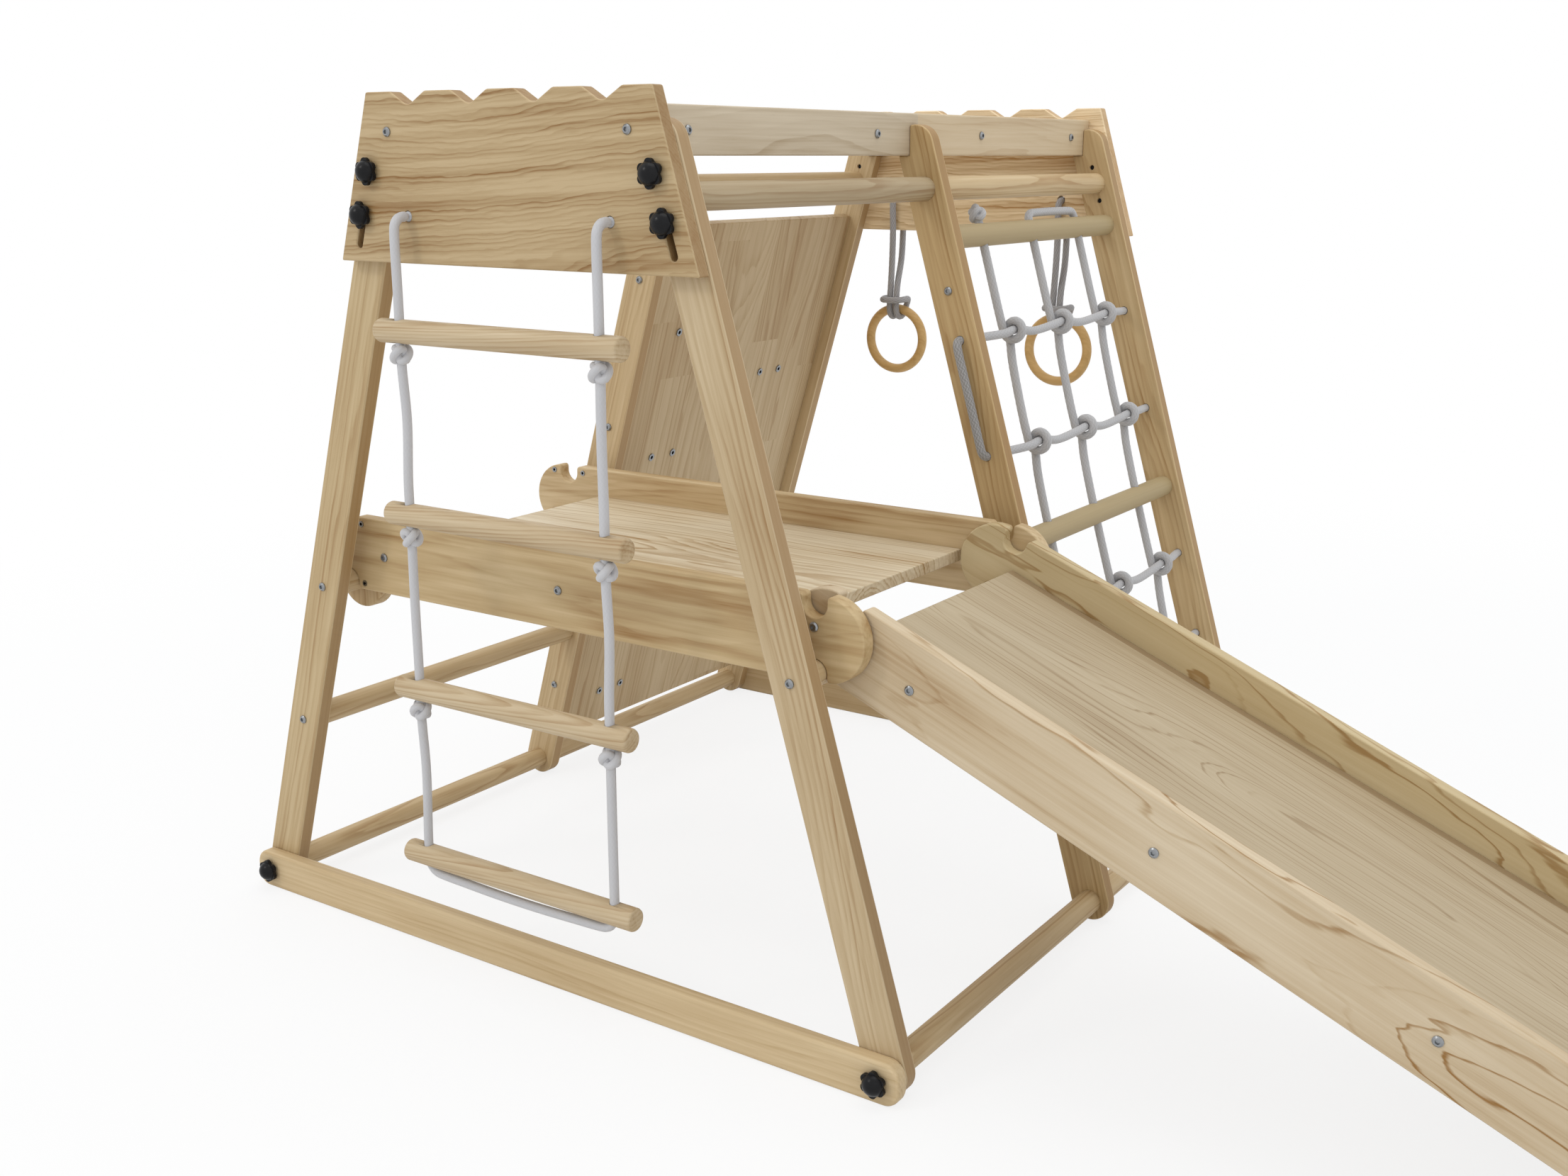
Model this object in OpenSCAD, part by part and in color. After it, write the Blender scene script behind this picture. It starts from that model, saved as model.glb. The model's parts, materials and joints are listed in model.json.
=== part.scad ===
// Wooden climbing frame: three A-frames carry two top rails, cross bars, a rope
// ladder, a rope net, two rings, a climbing wall, a hooked platform and a hooked slide.
// The origin is on the floor under the middle of the front base rail. X runs across
// the ladder end, towards the slide, Y runs back to the rings, and Z is up.

/* [A-frames] */
// Width of a leg board
leg_w = 60; // [48:1:72]
// Thickness of a leg board
leg_t = 24; // [20:1:32]
// Lean of a leg from the vertical, in degrees
leg_lean = 16.6; // [13:0.1:19]
// Length of a leg between the centres of its round ends
leg_len = 1152; // [1100:1:1220]
// Distance between the feet of an A-frame, centre to centre
foot_span = 1114; // [1060:2:1180]
// Distance from one A-frame to the next
bay_pitch = 598; // [560:1:660]

/* [Boards] */
// Thickness of the end panels, base rails and hooked side boards
board_t = 22; // [18:1:28]
// Height of the end panels
panel_h = 217; // [200:1:240]
// Height that an end panel stands above the top rails
panel_rise = 20; // [14:1:30]
// Distance of a panel's side edge inside the leg's outer edge
panel_inset = 1.5; // [0:0.5:6]
// Distance from a panel's top corner to its first valley
valley_edge = 45; // [36:1:60]
// Width of a valley as a share of the valleys' spacing
valley_share = 0.574; // [0.4:0.002:0.65]
// Depth of a valley
valley_d = 16; // [8:1:18]
// Radius of a valley's round bottom
valley_r = 15; // [8:1:18]
// Rounding of the shoulders beside a valley
shoulder_r = 9; // [3:1:12]
// Height of the base rails
base_rail_h = 58; // [48:1:70]
// Corner radius of the base rails
base_rail_r = 22; // [10:1:23]

/* [Top rails] */
// Height of a top rail
top_rail_h = 60; // [52:1:72]
// Thickness of a top rail
top_rail_t = 28; // [24:1:32]
// Distance of a panel's bolt inside the middle of the top rail
panel_bolt_in = 4; // [0:0.5:5]
// Depth of the seat cut into a leg's inner edge for a top rail
seat_w = 18; // [14:1:22]
// Height of that seat below the top of the leg
seat_h = 44; // [36:1:50]
// Distances of the cross bars from the front, middle, middle and back legs' front faces
cross_bar_in = [70, 90, 222, 50]; // [45:1:240]

/* [Bars] */
// Diameter of the round bars
bar_d = 35; // [30:0.5:40]
// Distance of the hand bars below the top rails
hand_bar_drop = 47; // [40:1:58]
// Distance below the top rails of the bars that carry the platform and the slide
platform_bar_drop = 614; // [590:1:650]
// Distance of the left climbing bar below the platform's bars
left_bar_drop = 218; // [170:1:260]
// Distance below the top rails of the bar that the net hangs from
net_bar_high_drop = 117; // [110:1:135]
// Distance below the top rails of the bar that steadies the net
net_bar_low_drop = 565; // [540:1:590]

/* [Platform and slide] */
// Height of the hooked side boards
hook_h = 110; // [100:1:120]
// Length of a board's round nose past the middle of its notch
hook_nose = 17; // [12:1:24]
// Distance of a notch's centre inside the board's edge
notch_in = 11; // [8:1:16]
// Room around a bar in a notch
notch_room = 0.5; // [0.4:0.1:1.5]
// Rounding of a notch's lips
notch_lip = 6; // [3:0.5:7]
// Radius of the round keepers that close the left notches
keeper_r = 46; // [40:1:48]
// Thickness of a keeper
keeper_t = 24; // [18:1:28]
// Gap between a middle or front leg and the platform
platform_gap = 29; // [20:1:40]
// Thickness of the platform's and the slide's decks
deck_t = 18; // [12:1:22]
// Distance from a platform bar to the end of the deck
deck_short = 66; // [62:1:90]
// Gap between the platform's and the slide's side boards
slide_gap = 3; // [1:0.5:6]
// Length of the slide from its bar to the centre of its lower nose
slide_len = 1283; // [1100:1:1400]
// Distance from the slide's notch to the first bolt of its deck
slide_bolt_first = 114; // [80:1:140]
// Distance between the bolts of the slide's deck
slide_bolt_pitch = 344; // [280:1:350]

/* [Climbing wall] */
// Thickness of the climbing wall
wall_t = 18; // [15:1:24]
// Distance of the wall's top edge below the top rails
wall_top_drop = 110; // [100:1:160]
// Height of the wall's bottom edge
wall_bottom_z = 68; // [66:1:100]
// Distance between the two bolts of a hold
hold_bolt_pitch = 61; // [50:1:70]
// Radius of a hold's round back
hold_r = 26; // [20:1:32]
// Distance from the wall's bottom edge to the lowest hold
hold_low = 68; // [62:1:90]
// Distance from the wall's top edge to the highest hold
hold_high = 184; // [120:1:220]
// Distances of the two rows of holds from the middle and the back leg
hold_row_in = [135, 154]; // [90:1:190]

/* [Ropes] */
// Diameter of the ladder's rope
ladder_rope_d = 13; // [10:0.5:14]
// Diameter of the net's ropes
net_rope_d = 13.5; // [10:0.5:14]
// Diameter of the rings' ropes
ring_rope_d = 12; // [10:0.5:13]
// Height of the rope holes above the bottom edge of an end panel
rope_hole_up = 60.5; // [55:0.5:63]
// Distance of a rope hole from the middle line of the leg beside it
rope_hole_in = 84; // [78:1:95]
// Diameter of the rope holes
rope_hole_d = 15; // [14.5:0.5:17]
// Distance from a panel's face to the middle of the ladder
ladder_out = 25; // [23:1:32]
// Length of a ladder rung past its rope
rung_over = 36.5; // [30:0.5:60]
// Diameter of a ladder rung
rung_d = 32; // [26:1:36]
// Height of the lowest rung
rung_low_z = 159; // [120:1:180]
// Distance from the rope holes down to the highest rung
rung_high_drop = 146.5; // [130:0.5:170]
// Distances of the net's rows below the top rails
net_row_drop = [263, 430, 682, 823]; // [250:1:840]
// Distance between the net's upright ropes
net_upright_pitch = 170; // [150:1:180]

/* [Rings] */
// Outer diameter of a ring
ring_d = 132; // [110:1:150]
// Diameter of a ring's section
ring_t = 17; // [14:1:20]
// Distance from a rope hole down to a ring's centre
ring_drop = 266.5; // [250:0.5:285]

/* [Fasteners] */
// Diameter of the bolts and studs
bolt_d = 6; // [5:0.5:7]
// Diameter of a bolt's head
bolt_head_d = 12.5; // [11:0.5:16]
// Height of a bolt's head
bolt_head_h = 3.4; // [2:0.2:4]
// Diameter over a star knob's lobes
knob_d = 36; // [30:1:40]
// Height of a star knob
knob_h = 20; // [16:1:26]
// Diameter of a star knob's stud
knob_stud_d = 8; // [6:0.5:9]
// Height of the upper pair of knobs above the bottom edge of an end panel
knob_high_up = 117; // [115:1:121]
// Height of the lower pair of knobs there, at the top of their slots
knob_low_up = 61; // [53:1:63]
// Travel of a panel along its slots
slot_len = 40; // [20:1:44]

/* [Hidden] */
$fn = 48;
// Gap between flat faces that meet
seat_gap = 0.1;
// Gap between round faces that meet
round_gap = 0.3;
// Depth of a bolt's hex socket and its width across corners
socket_d = 2;
socket_w = 6;
// How far a bolt or stud reaches into an end grain
bolt_reach = 34;
// How far a blind stud reaches into a leg
stud_reach = 12;
// Extra reach of a cut past a face
cut = 1;

foot_r = leg_w / 2;
foot_x = foot_span / 2;
bar_r = bar_d / 2;
front_y = board_t / 2;
mid_y = front_y + bay_pitch;
back_y = mid_y + bay_pitch;
rear_y = back_y + leg_t;
leg_top_z = foot_r + leg_len * cos(leg_lean) + foot_r;

// Height above the floor turned into a distance along a leg, and the leg's middle there
function along(z) = (z - foot_r) / cos(leg_lean);
function leg_x(z) = foot_x - (z - foot_r) * tan(leg_lean);
leg_half = foot_r / cos(leg_lean);

rail_z = leg_top_z - seat_h;
rail_x = leg_x(rail_z) - leg_half + seat_w;
rail_mid_x = rail_x - top_rail_t / 2;
panel_bolt_x = rail_mid_x - panel_bolt_in;
rail_mid_z = rail_z + top_rail_h / 2;
panel_top_z = rail_z + top_rail_h + panel_rise;
panel_bottom_z = panel_top_z - panel_h;
panel_top_x = leg_x(panel_top_z) + leg_half - panel_inset;
valley_pitch = 2 * (panel_top_x - valley_edge) / (3 + valley_share);
valley_w = valley_pitch * valley_share;
rope_hole_z = panel_bottom_z + rope_hole_up;
rope_hole_x = leg_x(rope_hole_z) - rope_hole_in;
knob_high_z = panel_bottom_z + knob_high_up;
knob_low_z = panel_bottom_z + knob_low_up;
slot_w = knob_stud_d + 2.6;

upper_bar_z = rail_z - hand_bar_drop;
platform_bar_z = rail_z - platform_bar_drop;
left_bar_z = platform_bar_z - left_bar_drop;
net_bar_high_z = rail_z - net_bar_high_drop;
net_bar_low_z = rail_z - net_bar_low_drop;
cross_bar_y = [
    cross_bar_in[0], bay_pitch - cross_bar_in[1],
    bay_pitch + cross_bar_in[2], 2 * bay_pitch - cross_bar_in[3]
];

hook_half = hook_h / 2;
notch_r = bar_r + notch_room;
notch_v = hook_half - notch_in;
hook_bar_x = leg_x(platform_bar_z);
// The notch rests on the top of its bar, with a round gap between them
hook_seat_z = platform_bar_z + bar_r + round_gap - notch_r;
platform_mid_z = hook_seat_z + notch_v;
platform_y0 = front_y + leg_t + platform_gap;
platform_y1 = mid_y - platform_gap;
deck_half = hook_bar_x - deck_short;
slide_y0 = platform_y0 + board_t + slide_gap;
slide_y1 = platform_y1 - board_t - slide_gap;
// The slide's tilt sets its lower nose on the floor
slide_reach = sqrt(pow(slide_len, 2) + pow(notch_v, 2));
slide_tilt = atan(notch_v / slide_len) + asin((hook_seat_z - hook_half) / slide_reach);
slide_deck_start = 14;
slide_deck_end = slide_len + 34;
slide_deck_v = -4.5;
slide_bolt_count = 1 + floor((slide_len - 100 - slide_bolt_first) / slide_bolt_pitch);

ladder_y = -front_y - ladder_out;
ladder_r = ladder_rope_d / 2;
net_r = net_rope_d / 2;
loop_r = ring_rope_d / 2;
rung_len = 2 * (rope_hole_x + rung_over);
rung_pitch = (rope_hole_z - rung_high_drop - rung_low_z) / 3;
rung_z = [for (i = [0:3]) rung_low_z + i * rung_pitch];
net_row_z = [for (d = net_row_drop) rail_z - d];
net_mid_y = mid_y + leg_t + (bay_pitch - leg_t) / 2;
net_y = [for (i = [-1:1]) net_mid_y + i * net_upright_pitch];
ring_y = rear_y + board_t / 2;
ring_z = rope_hole_z - ring_drop;
ring_r = (ring_d - ring_t) / 2;

wall_top_z = rail_z - wall_top_drop;
// Heights of the holds as shares of the way from the lowest to the highest
hold_at = [0, 0.165, 0.332, 0.506, 0.672, 0.855, 1];
hold_z = [for (t = hold_at) (1 - t) * (wall_bottom_z + hold_low) + t * (wall_top_z - hold_high)];

// Heights of the bolts that hold the climbing wall between its legs
wall_bolt_low = 112;
wall_bolt_high = 89;
wall_bolt_z = [for (t = [0, 0.66, 1])
    (1 - t) * (wall_bottom_z + wall_bolt_low) + t * (wall_top_z - wall_bolt_high)];
// Height of the spare bolt on the middle right leg
spare_bolt_z = rail_z - 192;

wood = [0.80, 0.67, 0.47];
pale_wood = [0.86, 0.75, 0.57];
olive = [0.70, 0.62, 0.42];
steel = [0.72, 0.73, 0.75];
black = [0.06, 0.06, 0.07];
white_rope = [0.88, 0.88, 0.90];
grey_rope = [0.66, 0.66, 0.69];

KNOB_NODES = [
    "knob_front_left_high", "knob_front_left_low", "knob_front_right_high",
    "knob_front_right_low", "knob_front_left_base", "knob_front_right_base",
    "knob_back_left_high", "knob_back_left_low", "knob_back_right_high",
    "knob_back_right_low", "knob_back_left_base", "knob_back_right_base"
];

// Puts children in a leg's own frame: origin at its foot, Z along the leg, Y to the back
module on_leg(side, y) {
    mirror([side < 0 ? 1 : 0, 0, 0])
        translate([foot_x, y, foot_r])
            rotate([0, -leg_lean, 0])
                children();
}

// A straight hole or pin along Y, at a height on a leg's middle line
module pin_y(side, z, d, y0, y1) {
    translate([side * leg_x(z), y0, z])
        rotate([-90, 0, 0])
            cylinder(d = d, h = y1 - y0);
}

// A board outline in X and Z, thickened along Y from y0
module board_y(y0, t) {
    translate([0, y0 + t, 0])
        rotate([90, 0, 0])
            linear_extrude(t)
                children();
}

// Round-ended strip along the outline's Y axis, from the origin up
module strip2d(len, w) {
    circle(d = w);
    translate([0, len])
        circle(d = w);
    translate([-w / 2, 0])
        square([w, len]);
}

// Legs: round-ended boards with a seat for the top rail in the inner edge

module leg(side, y, through = [], front_blind = [], back_blind = [], knobs = [], ropes = []) {
    color(wood)
        difference() {
            on_leg(side, y)
                board_y(0, leg_t)
                    strip2d(leg_len, leg_w);
            // Seat of the top rail
            mirror([side < 0 ? 1 : 0, 0, 0])
                translate([0, y - cut, rail_z - seat_gap])
                    cube([rail_x + seat_gap, leg_t + 2 * cut, seat_h + foot_r]);
            for (z = through)
                pin_y(side, z, bolt_d + 2 * round_gap, y - cut, y + leg_t + cut);
            for (z = front_blind)
                pin_y(side, z, bolt_d + 2 * round_gap, y - cut, y + stud_reach + round_gap);
            for (z = back_blind)
                pin_y(side, z, bolt_d + 2 * round_gap, y + leg_t - stud_reach - round_gap, y + leg_t + cut);
            for (z = knobs)
                pin_y(side, z, knob_stud_d + 2 * round_gap, y - cut, y + leg_t + cut);
            for (z = ropes)
                pin_y(side, z, net_rope_d + 1.2, y - cut, y + leg_t + cut);
        }
}

end_knobs = [knob_high_z, knob_low_z, foot_r];

module leg_front_left() {
    leg(-1, front_y, through = [platform_bar_z, left_bar_z], back_blind = [upper_bar_z], knobs = end_knobs);
}

module leg_front_right() {
    leg(1, front_y, through = [platform_bar_z], back_blind = [upper_bar_z], knobs = end_knobs);
}

module leg_middle_left() {
    leg(-1, mid_y, through = concat(wall_bolt_z, [upper_bar_z, foot_r]),
        front_blind = [platform_bar_z, left_bar_z]);
}

module leg_middle_right() {
    leg(1, mid_y, through = [upper_bar_z, spare_bolt_z, foot_r], front_blind = [platform_bar_z],
        back_blind = [net_bar_high_z, net_bar_low_z], ropes = net_row_z);
}

module leg_back_left() {
    leg(-1, back_y, through = wall_bolt_z, front_blind = [upper_bar_z], knobs = end_knobs);
}

module leg_back_right() {
    leg(1, back_y, through = [net_bar_low_z], front_blind = [upper_bar_z, net_bar_high_z],
        knobs = end_knobs, ropes = net_row_z);
}

// Top rails and the cross bars between them

module top_rail(side) {
    y0 = front_y + seat_gap;
    len = rear_y - front_y - 2 * seat_gap;
    color(pale_wood)
        difference() {
            translate([side * rail_mid_x - top_rail_t / 2, y0, rail_z])
                cube([top_rail_t, len, top_rail_h]);
            for (y = cross_bar_y)
                translate([0, front_y + y, rail_mid_z])
                    rotate([0, side * 90, 0])
                        cylinder(d = bolt_d + 2 * round_gap, h = rail_x + cut);
            for (y = [front_y, rear_y - bolt_reach - 1])
                translate([side * panel_bolt_x, y - (y == front_y ? cut : 0), rail_mid_z])
                    rotate([-90, 0, 0])
                        cylinder(d = bolt_d + 2 * round_gap, h = bolt_reach + cut + 1);
        }
}

module top_rail_left() {
    top_rail(-1);
}

module top_rail_right() {
    top_rail(1);
}

module cross_bars() {
    half = rail_x - top_rail_t - seat_gap;
    color(wood)
        for (y = cross_bar_y)
            translate([0, front_y + y, rail_mid_z])
                difference() {
                    rotate([0, 90, 0])
                        cylinder(d = bar_d, h = 2 * half, center = true);
                    for (side = [-1, 1])
                        translate([side * (half + cut), 0, 0])
                            rotate([0, -side * 90, 0])
                                cylinder(d = bolt_d + 2 * round_gap, h = bolt_reach + cut);
                }
}

// End panels with a wavy top edge, and the base rails

module valley2d() {
    // Two slopes that run into a round bottom, with rounded shoulders
    half = valley_w / 2;
    turn = atan2(valley_d - valley_r, half) - acos(valley_r / norm([half, valley_d - valley_r]));
    fall = 90 + turn;
    low = [valley_r * cos(turn), valley_r - valley_d + valley_r * sin(turn)];
    ease = shoulder_r * tan(fall / 2);
    polygon([[-half, cut], [-half, 0], [-low.x, low.y], [low.x, low.y], [half, 0], [half, cut]]);
    intersection() {
        translate([0, valley_r - valley_d])
            circle(r = valley_r);
        translate([-low.x, -valley_d - cut])
            square([2 * low.x, low.y + valley_d + 2 * cut]);
    }
    for (m = [0, 1])
        mirror([m, 0])
            difference() {
                polygon([
                    [half - ease * cos(fall), -ease * sin(fall)], [half + ease, 0],
                    [half + ease, cut], [half - ease * cos(fall), cut]
                ]);
                translate([half + ease, -shoulder_r])
                    circle(r = shoulder_r);
            }
}

module end_panel(y0) {
    bottom = leg_x(panel_bottom_z) + leg_half - panel_inset;
    top = panel_top_x;
    color(wood)
        difference() {
            board_y(y0, board_t)
                difference() {
                    polygon([
                        [-bottom, panel_bottom_z], [bottom, panel_bottom_z],
                        [top, panel_top_z], [-top, panel_top_z]
                    ]);
                    for (i = [-1.5:1:1.5])
                        translate([i * valley_pitch, panel_top_z])
                            valley2d();
                }
            for (side = [-1, 1]) {
                pin_y(side, knob_high_z, slot_w, y0 - cut, y0 + board_t + cut);
                on_leg(side, 0)
                    translate([0, 0, along(knob_low_z) - slot_len])
                        board_y(y0 - cut, board_t + 2 * cut)
                            strip2d(slot_len, slot_w);
                translate([side * rope_hole_x, y0 - cut, rope_hole_z])
                    rotate([-90, 0, 0])
                        cylinder(d = rope_hole_d, h = board_t + 2 * cut);
                translate([side * panel_bolt_x, y0 - cut, rail_mid_z])
                    rotate([-90, 0, 0])
                        cylinder(d = bolt_d + 2 * round_gap, h = board_t + 2 * cut);
            }
        }
}

module end_panel_front() {
    end_panel(-front_y);
}

module end_panel_back() {
    end_panel(rear_y);
}

module base_rail(y0) {
    half = leg_x(base_rail_h / 2) + leg_half;
    color(wood)
        difference() {
            board_y(y0, board_t)
                union() {
                    for (x = [base_rail_r - half, half - base_rail_r], z = [base_rail_r, base_rail_h - base_rail_r])
                        translate([x, z])
                            circle(r = base_rail_r);
                    translate([base_rail_r - half, 0])
                        square([2 * (half - base_rail_r), base_rail_h]);
                    translate([-half, base_rail_r])
                        square([2 * half, base_rail_h - 2 * base_rail_r]);
                }
            for (side = [-1, 1])
                pin_y(side, foot_r, knob_stud_d + 2 * round_gap, y0 - cut, y0 + board_t + cut);
        }
}

module base_rail_front() {
    base_rail(-front_y);
}

module base_rail_back() {
    base_rail(rear_y);
}

// Round bars between the A-frames, bored at both ends

module bar(side, z, y_leg, front_bore = bolt_d, back_bore = bolt_d, tone = wood) {
    y0 = y_leg + leg_t + seat_gap;
    y1 = y_leg + bay_pitch - seat_gap;
    color(tone)
        difference() {
            pin_y(side, z, bar_d, y0, y1);
            pin_y(side, z, front_bore + 2 * round_gap, y0 - cut, y0 + bolt_reach);
            pin_y(side, z, back_bore + 2 * round_gap, y1 - bolt_reach, y1 + cut);
            children();
        }
}

// Holes for the net's uprights, along the lean of the legs
module upright_holes(z) {
    for (y = net_y)
        on_leg(1, y)
            translate([0, 0, along(z) - bar_d])
                cylinder(d = net_rope_d + 1.2, h = 2 * bar_d);
}

module hand_bar_left_front() {
    bar(-1, upper_bar_z, front_y);
}

module hand_bar_left_back() {
    bar(-1, upper_bar_z, mid_y);
}

module hand_bar_right_front() {
    bar(1, upper_bar_z, front_y);
}

module hand_bar_right_back() {
    bar(1, upper_bar_z, mid_y);
}

module platform_bar_left() {
    bar(-1, platform_bar_z, front_y);
}

module platform_bar_right() {
    bar(1, platform_bar_z, front_y);
}

module climbing_bar_left() {
    bar(-1, left_bar_z, front_y);
}

module net_bars() {
    for (z = [net_bar_high_z, net_bar_low_z])
        bar(1, z, mid_y, tone = olive)
            upright_holes(z);
}

module foot_bar_left_front() {
    bar(-1, foot_r, front_y, front_bore = knob_stud_d);
}

module foot_bar_left_back() {
    bar(-1, foot_r, mid_y, back_bore = knob_stud_d);
}

module foot_bar_right_front() {
    bar(1, foot_r, front_y, front_bore = knob_stud_d);
}

module foot_bar_right_back() {
    bar(1, foot_r, mid_y, back_bore = knob_stud_d);
}

// Climbing wall between the left legs of the back bay, with its holds on the outside

wall_y0 = mid_y + leg_t + seat_gap;
wall_y1 = back_y - seat_gap;

function hold_y(i) = i % 2 == 0 ? mid_y + leg_t + hold_row_in[0] : back_y - hold_row_in[1];
hold_side = [-hold_bolt_pitch / 2, hold_bolt_pitch / 2];

module climbing_wall() {
    s0 = along(wall_bottom_z);
    s1 = along(wall_top_z);
    color(pale_wood)
        difference() {
            on_leg(-1, 0)
                translate([-wall_t / 2, wall_y0, s0])
                    cube([wall_t, wall_y1 - wall_y0, s1 - s0]);
            for (z = wall_bolt_z) {
                pin_y(-1, z, bolt_d + 2 * round_gap, wall_y0 - cut, wall_y0 + bolt_reach);
                pin_y(-1, z, bolt_d + 2 * round_gap, wall_y1 - bolt_reach, wall_y1 + cut);
            }
            for (i = [0:len(hold_z) - 1], dy = hold_side)
                on_leg(-1, hold_y(i) + dy)
                    translate([-wall_t, 0, along(hold_z[i])])
                        rotate([0, 90, 0])
                            cylinder(d = bolt_d + 2 + 2 * round_gap, h = 2 * wall_t);
        }
}

// A hold is a round-ended block with an arched back, flat against the wall
module climbing_holds() {
    face = wall_t / 2 + seat_gap;
    color([0.62, 0.36, 0.20])
        for (i = [0:len(hold_z) - 1])
            on_leg(-1, hold_y(i))
                translate([face, 0, along(hold_z[i])])
                    difference() {
                        intersection() {
                            rotate([0, 90, 0])
                                linear_extrude(hold_r)
                                    translate([0, hold_side[0]])
                                        strip2d(hold_bolt_pitch, 2 * hold_r);
                            translate([-hold_r * 0.2, -2 * hold_bolt_pitch, 0])
                                rotate([-90, 0, 0])
                                    cylinder(r = hold_r * 1.15, h = 4 * hold_bolt_pitch);
                        }
                        for (dy = hold_side)
                            translate([-cut, dy, 0])
                                rotate([0, 90, 0]) {
                                    cylinder(d = bolt_d + 2 * round_gap, h = 2 * hold_r);
                                    translate([0, 0, hold_r * 0.62])
                                        cylinder(d = bolt_head_d, h = hold_r);
                                }
                    }
}

// Bolts through the holds, and the flanged hex nuts set in the wall's inner face
module hold_fasteners() {
    face = wall_t / 2 + seat_gap;
    head = face + hold_r * 0.62 - cut;
    color(steel)
        for (i = [0:len(hold_z) - 1], dy = hold_side)
            on_leg(-1, hold_y(i) + dy)
                translate([0, 0, along(hold_z[i])])
                    rotate([0, 90, 0]) {
                        difference() {
                            union() {
                                translate([0, 0, -wall_t / 6])
                                    cylinder(d = bolt_d, h = head + wall_t / 6 + cut);
                                translate([0, 0, head + seat_gap])
                                    cylinder(d = bolt_head_d - 2 * round_gap, h = bolt_head_h);
                            }
                            translate([0, 0, head + bolt_head_h - socket_d + seat_gap])
                                cylinder(d = socket_w, h = socket_d + cut, $fn = 6);
                        }
                        difference() {
                            union() {
                                translate([0, 0, -wall_t / 2 - 2 - seat_gap])
                                    cylinder(d = 15, h = 2, $fn = 6);
                                translate([0, 0, -wall_t / 2 - 1])
                                    cylinder(d = bolt_d + 2, h = 9);
                            }
                            translate([0, 0, -wall_t])
                                cylinder(d = bolt_d + 2 * round_gap, h = 2 * wall_t);
                        }
                    }
}

// Hooked boards: round noses and notches above and below, so that a board can be turned over

module notch2d() {
    circle(r = notch_r);
    translate([-notch_r, -notch_in - cut])
        square([2 * notch_r, notch_in + cut]);
    for (m = [0, 1])
        mirror([m, 0])
            translate([notch_r, -notch_in])
                difference() {
                    translate([-cut, -cut])
                        square([notch_lip + cut, notch_lip + cut]);
                    translate([notch_lip, notch_lip])
                        circle(r = notch_lip);
                    translate([-2 * cut, notch_lip])
                        square([3 * cut, cut]);
                }
}

// Both notches of one end, at a place along the board's middle line
module notch_pair2d(u) {
    for (m = [0, 1])
        mirror([0, m])
            translate([u, -notch_v])
                notch2d();
}

module platform_outline2d() {
    nose = hook_bar_x + hook_nose;
    difference() {
        union() {
            for (x = [-nose, nose])
                translate([x, 0])
                    circle(r = hook_half);
            square([2 * nose, hook_h], center = true);
        }
        notch_pair2d(-hook_bar_x);
        notch_pair2d(hook_bar_x);
    }
}

// Places of the deck bolts along the platform, and of the sleeve nuts beside the left notches
deck_bolt_x = [-deck_half + 11, 0, deck_half - 11];
guard_mid = (notch_r + keeper_r) / 2;
guard_x = [-hook_bar_x - guard_mid, -hook_bar_x + guard_mid];
guard_v = notch_v + 1;
guard_d = 6.4;
guard_head_d = 9;
guard_head_h = 1.2;
guard_bore = 4.6;
lock_v = 15;

module platform_drill(y0, y1) {
    for (x = deck_bolt_x)
        translate([x, y0, platform_mid_z])
            rotate([-90, 0, 0])
                cylinder(d = bolt_d + 2 * round_gap, h = y1 - y0);
    for (x = guard_x, v = [-guard_v, guard_v])
        translate([x, y0, platform_mid_z + v])
            rotate([-90, 0, 0])
                cylinder(d = guard_d + 2 * round_gap, h = y1 - y0);
    translate([hook_bar_x, y0, platform_mid_z + lock_v])
        rotate([-90, 0, 0])
            cylinder(d = bolt_d + 2 * round_gap, h = y1 - y0);
}

module platform_side(y0) {
    color(wood)
        difference() {
            translate([0, 0, platform_mid_z])
                board_y(y0, board_t)
                    platform_outline2d();
            platform_drill(y0 - cut, y0 + board_t + cut);
        }
}

module platform_side_front() {
    platform_side(platform_y0);
}

module platform_side_back() {
    platform_side(platform_y1 - board_t);
}

module platform_deck() {
    y0 = platform_y0 + board_t + seat_gap;
    y1 = platform_y1 - board_t - seat_gap;
    color(pale_wood)
        difference() {
            translate([-deck_half, y0, platform_mid_z - deck_t / 2])
                cube([2 * deck_half, y1 - y0, deck_t]);
            for (x = deck_bolt_x, y = [y0 - cut, y1 - bolt_reach])
                translate([x, y, platform_mid_z])
                    rotate([-90, 0, 0])
                        cylinder(d = bolt_d + 2 * round_gap, h = bolt_reach + cut);
        }
}

// Round keepers on the boards' inner faces, each a cradle under the left bar
module keeper2d() {
    difference() {
        intersection() {
            circle(r = keeper_r);
            translate([-keeper_r, -keeper_r])
                square([2 * keeper_r, keeper_r + guard_head_d * 2.5]);
        }
        circle(r = notch_r);
        translate([-notch_r, 0])
            square([2 * notch_r, keeper_r + cut]);
    }
}

module platform_keepers() {
    color(wood)
        for (y0 = [platform_y0 + board_t + seat_gap, platform_y1 - board_t - seat_gap - keeper_t])
            difference() {
                translate([-hook_bar_x, 0, hook_seat_z])
                    board_y(y0, keeper_t)
                        keeper2d();
                for (x = guard_x)
                    translate([x, y0 - cut, platform_mid_z - guard_v])
                        rotate([-90, 0, 0])
                            cylinder(d = guard_d + 2 * round_gap, h = keeper_t + 2 * cut);
            }
}

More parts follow.
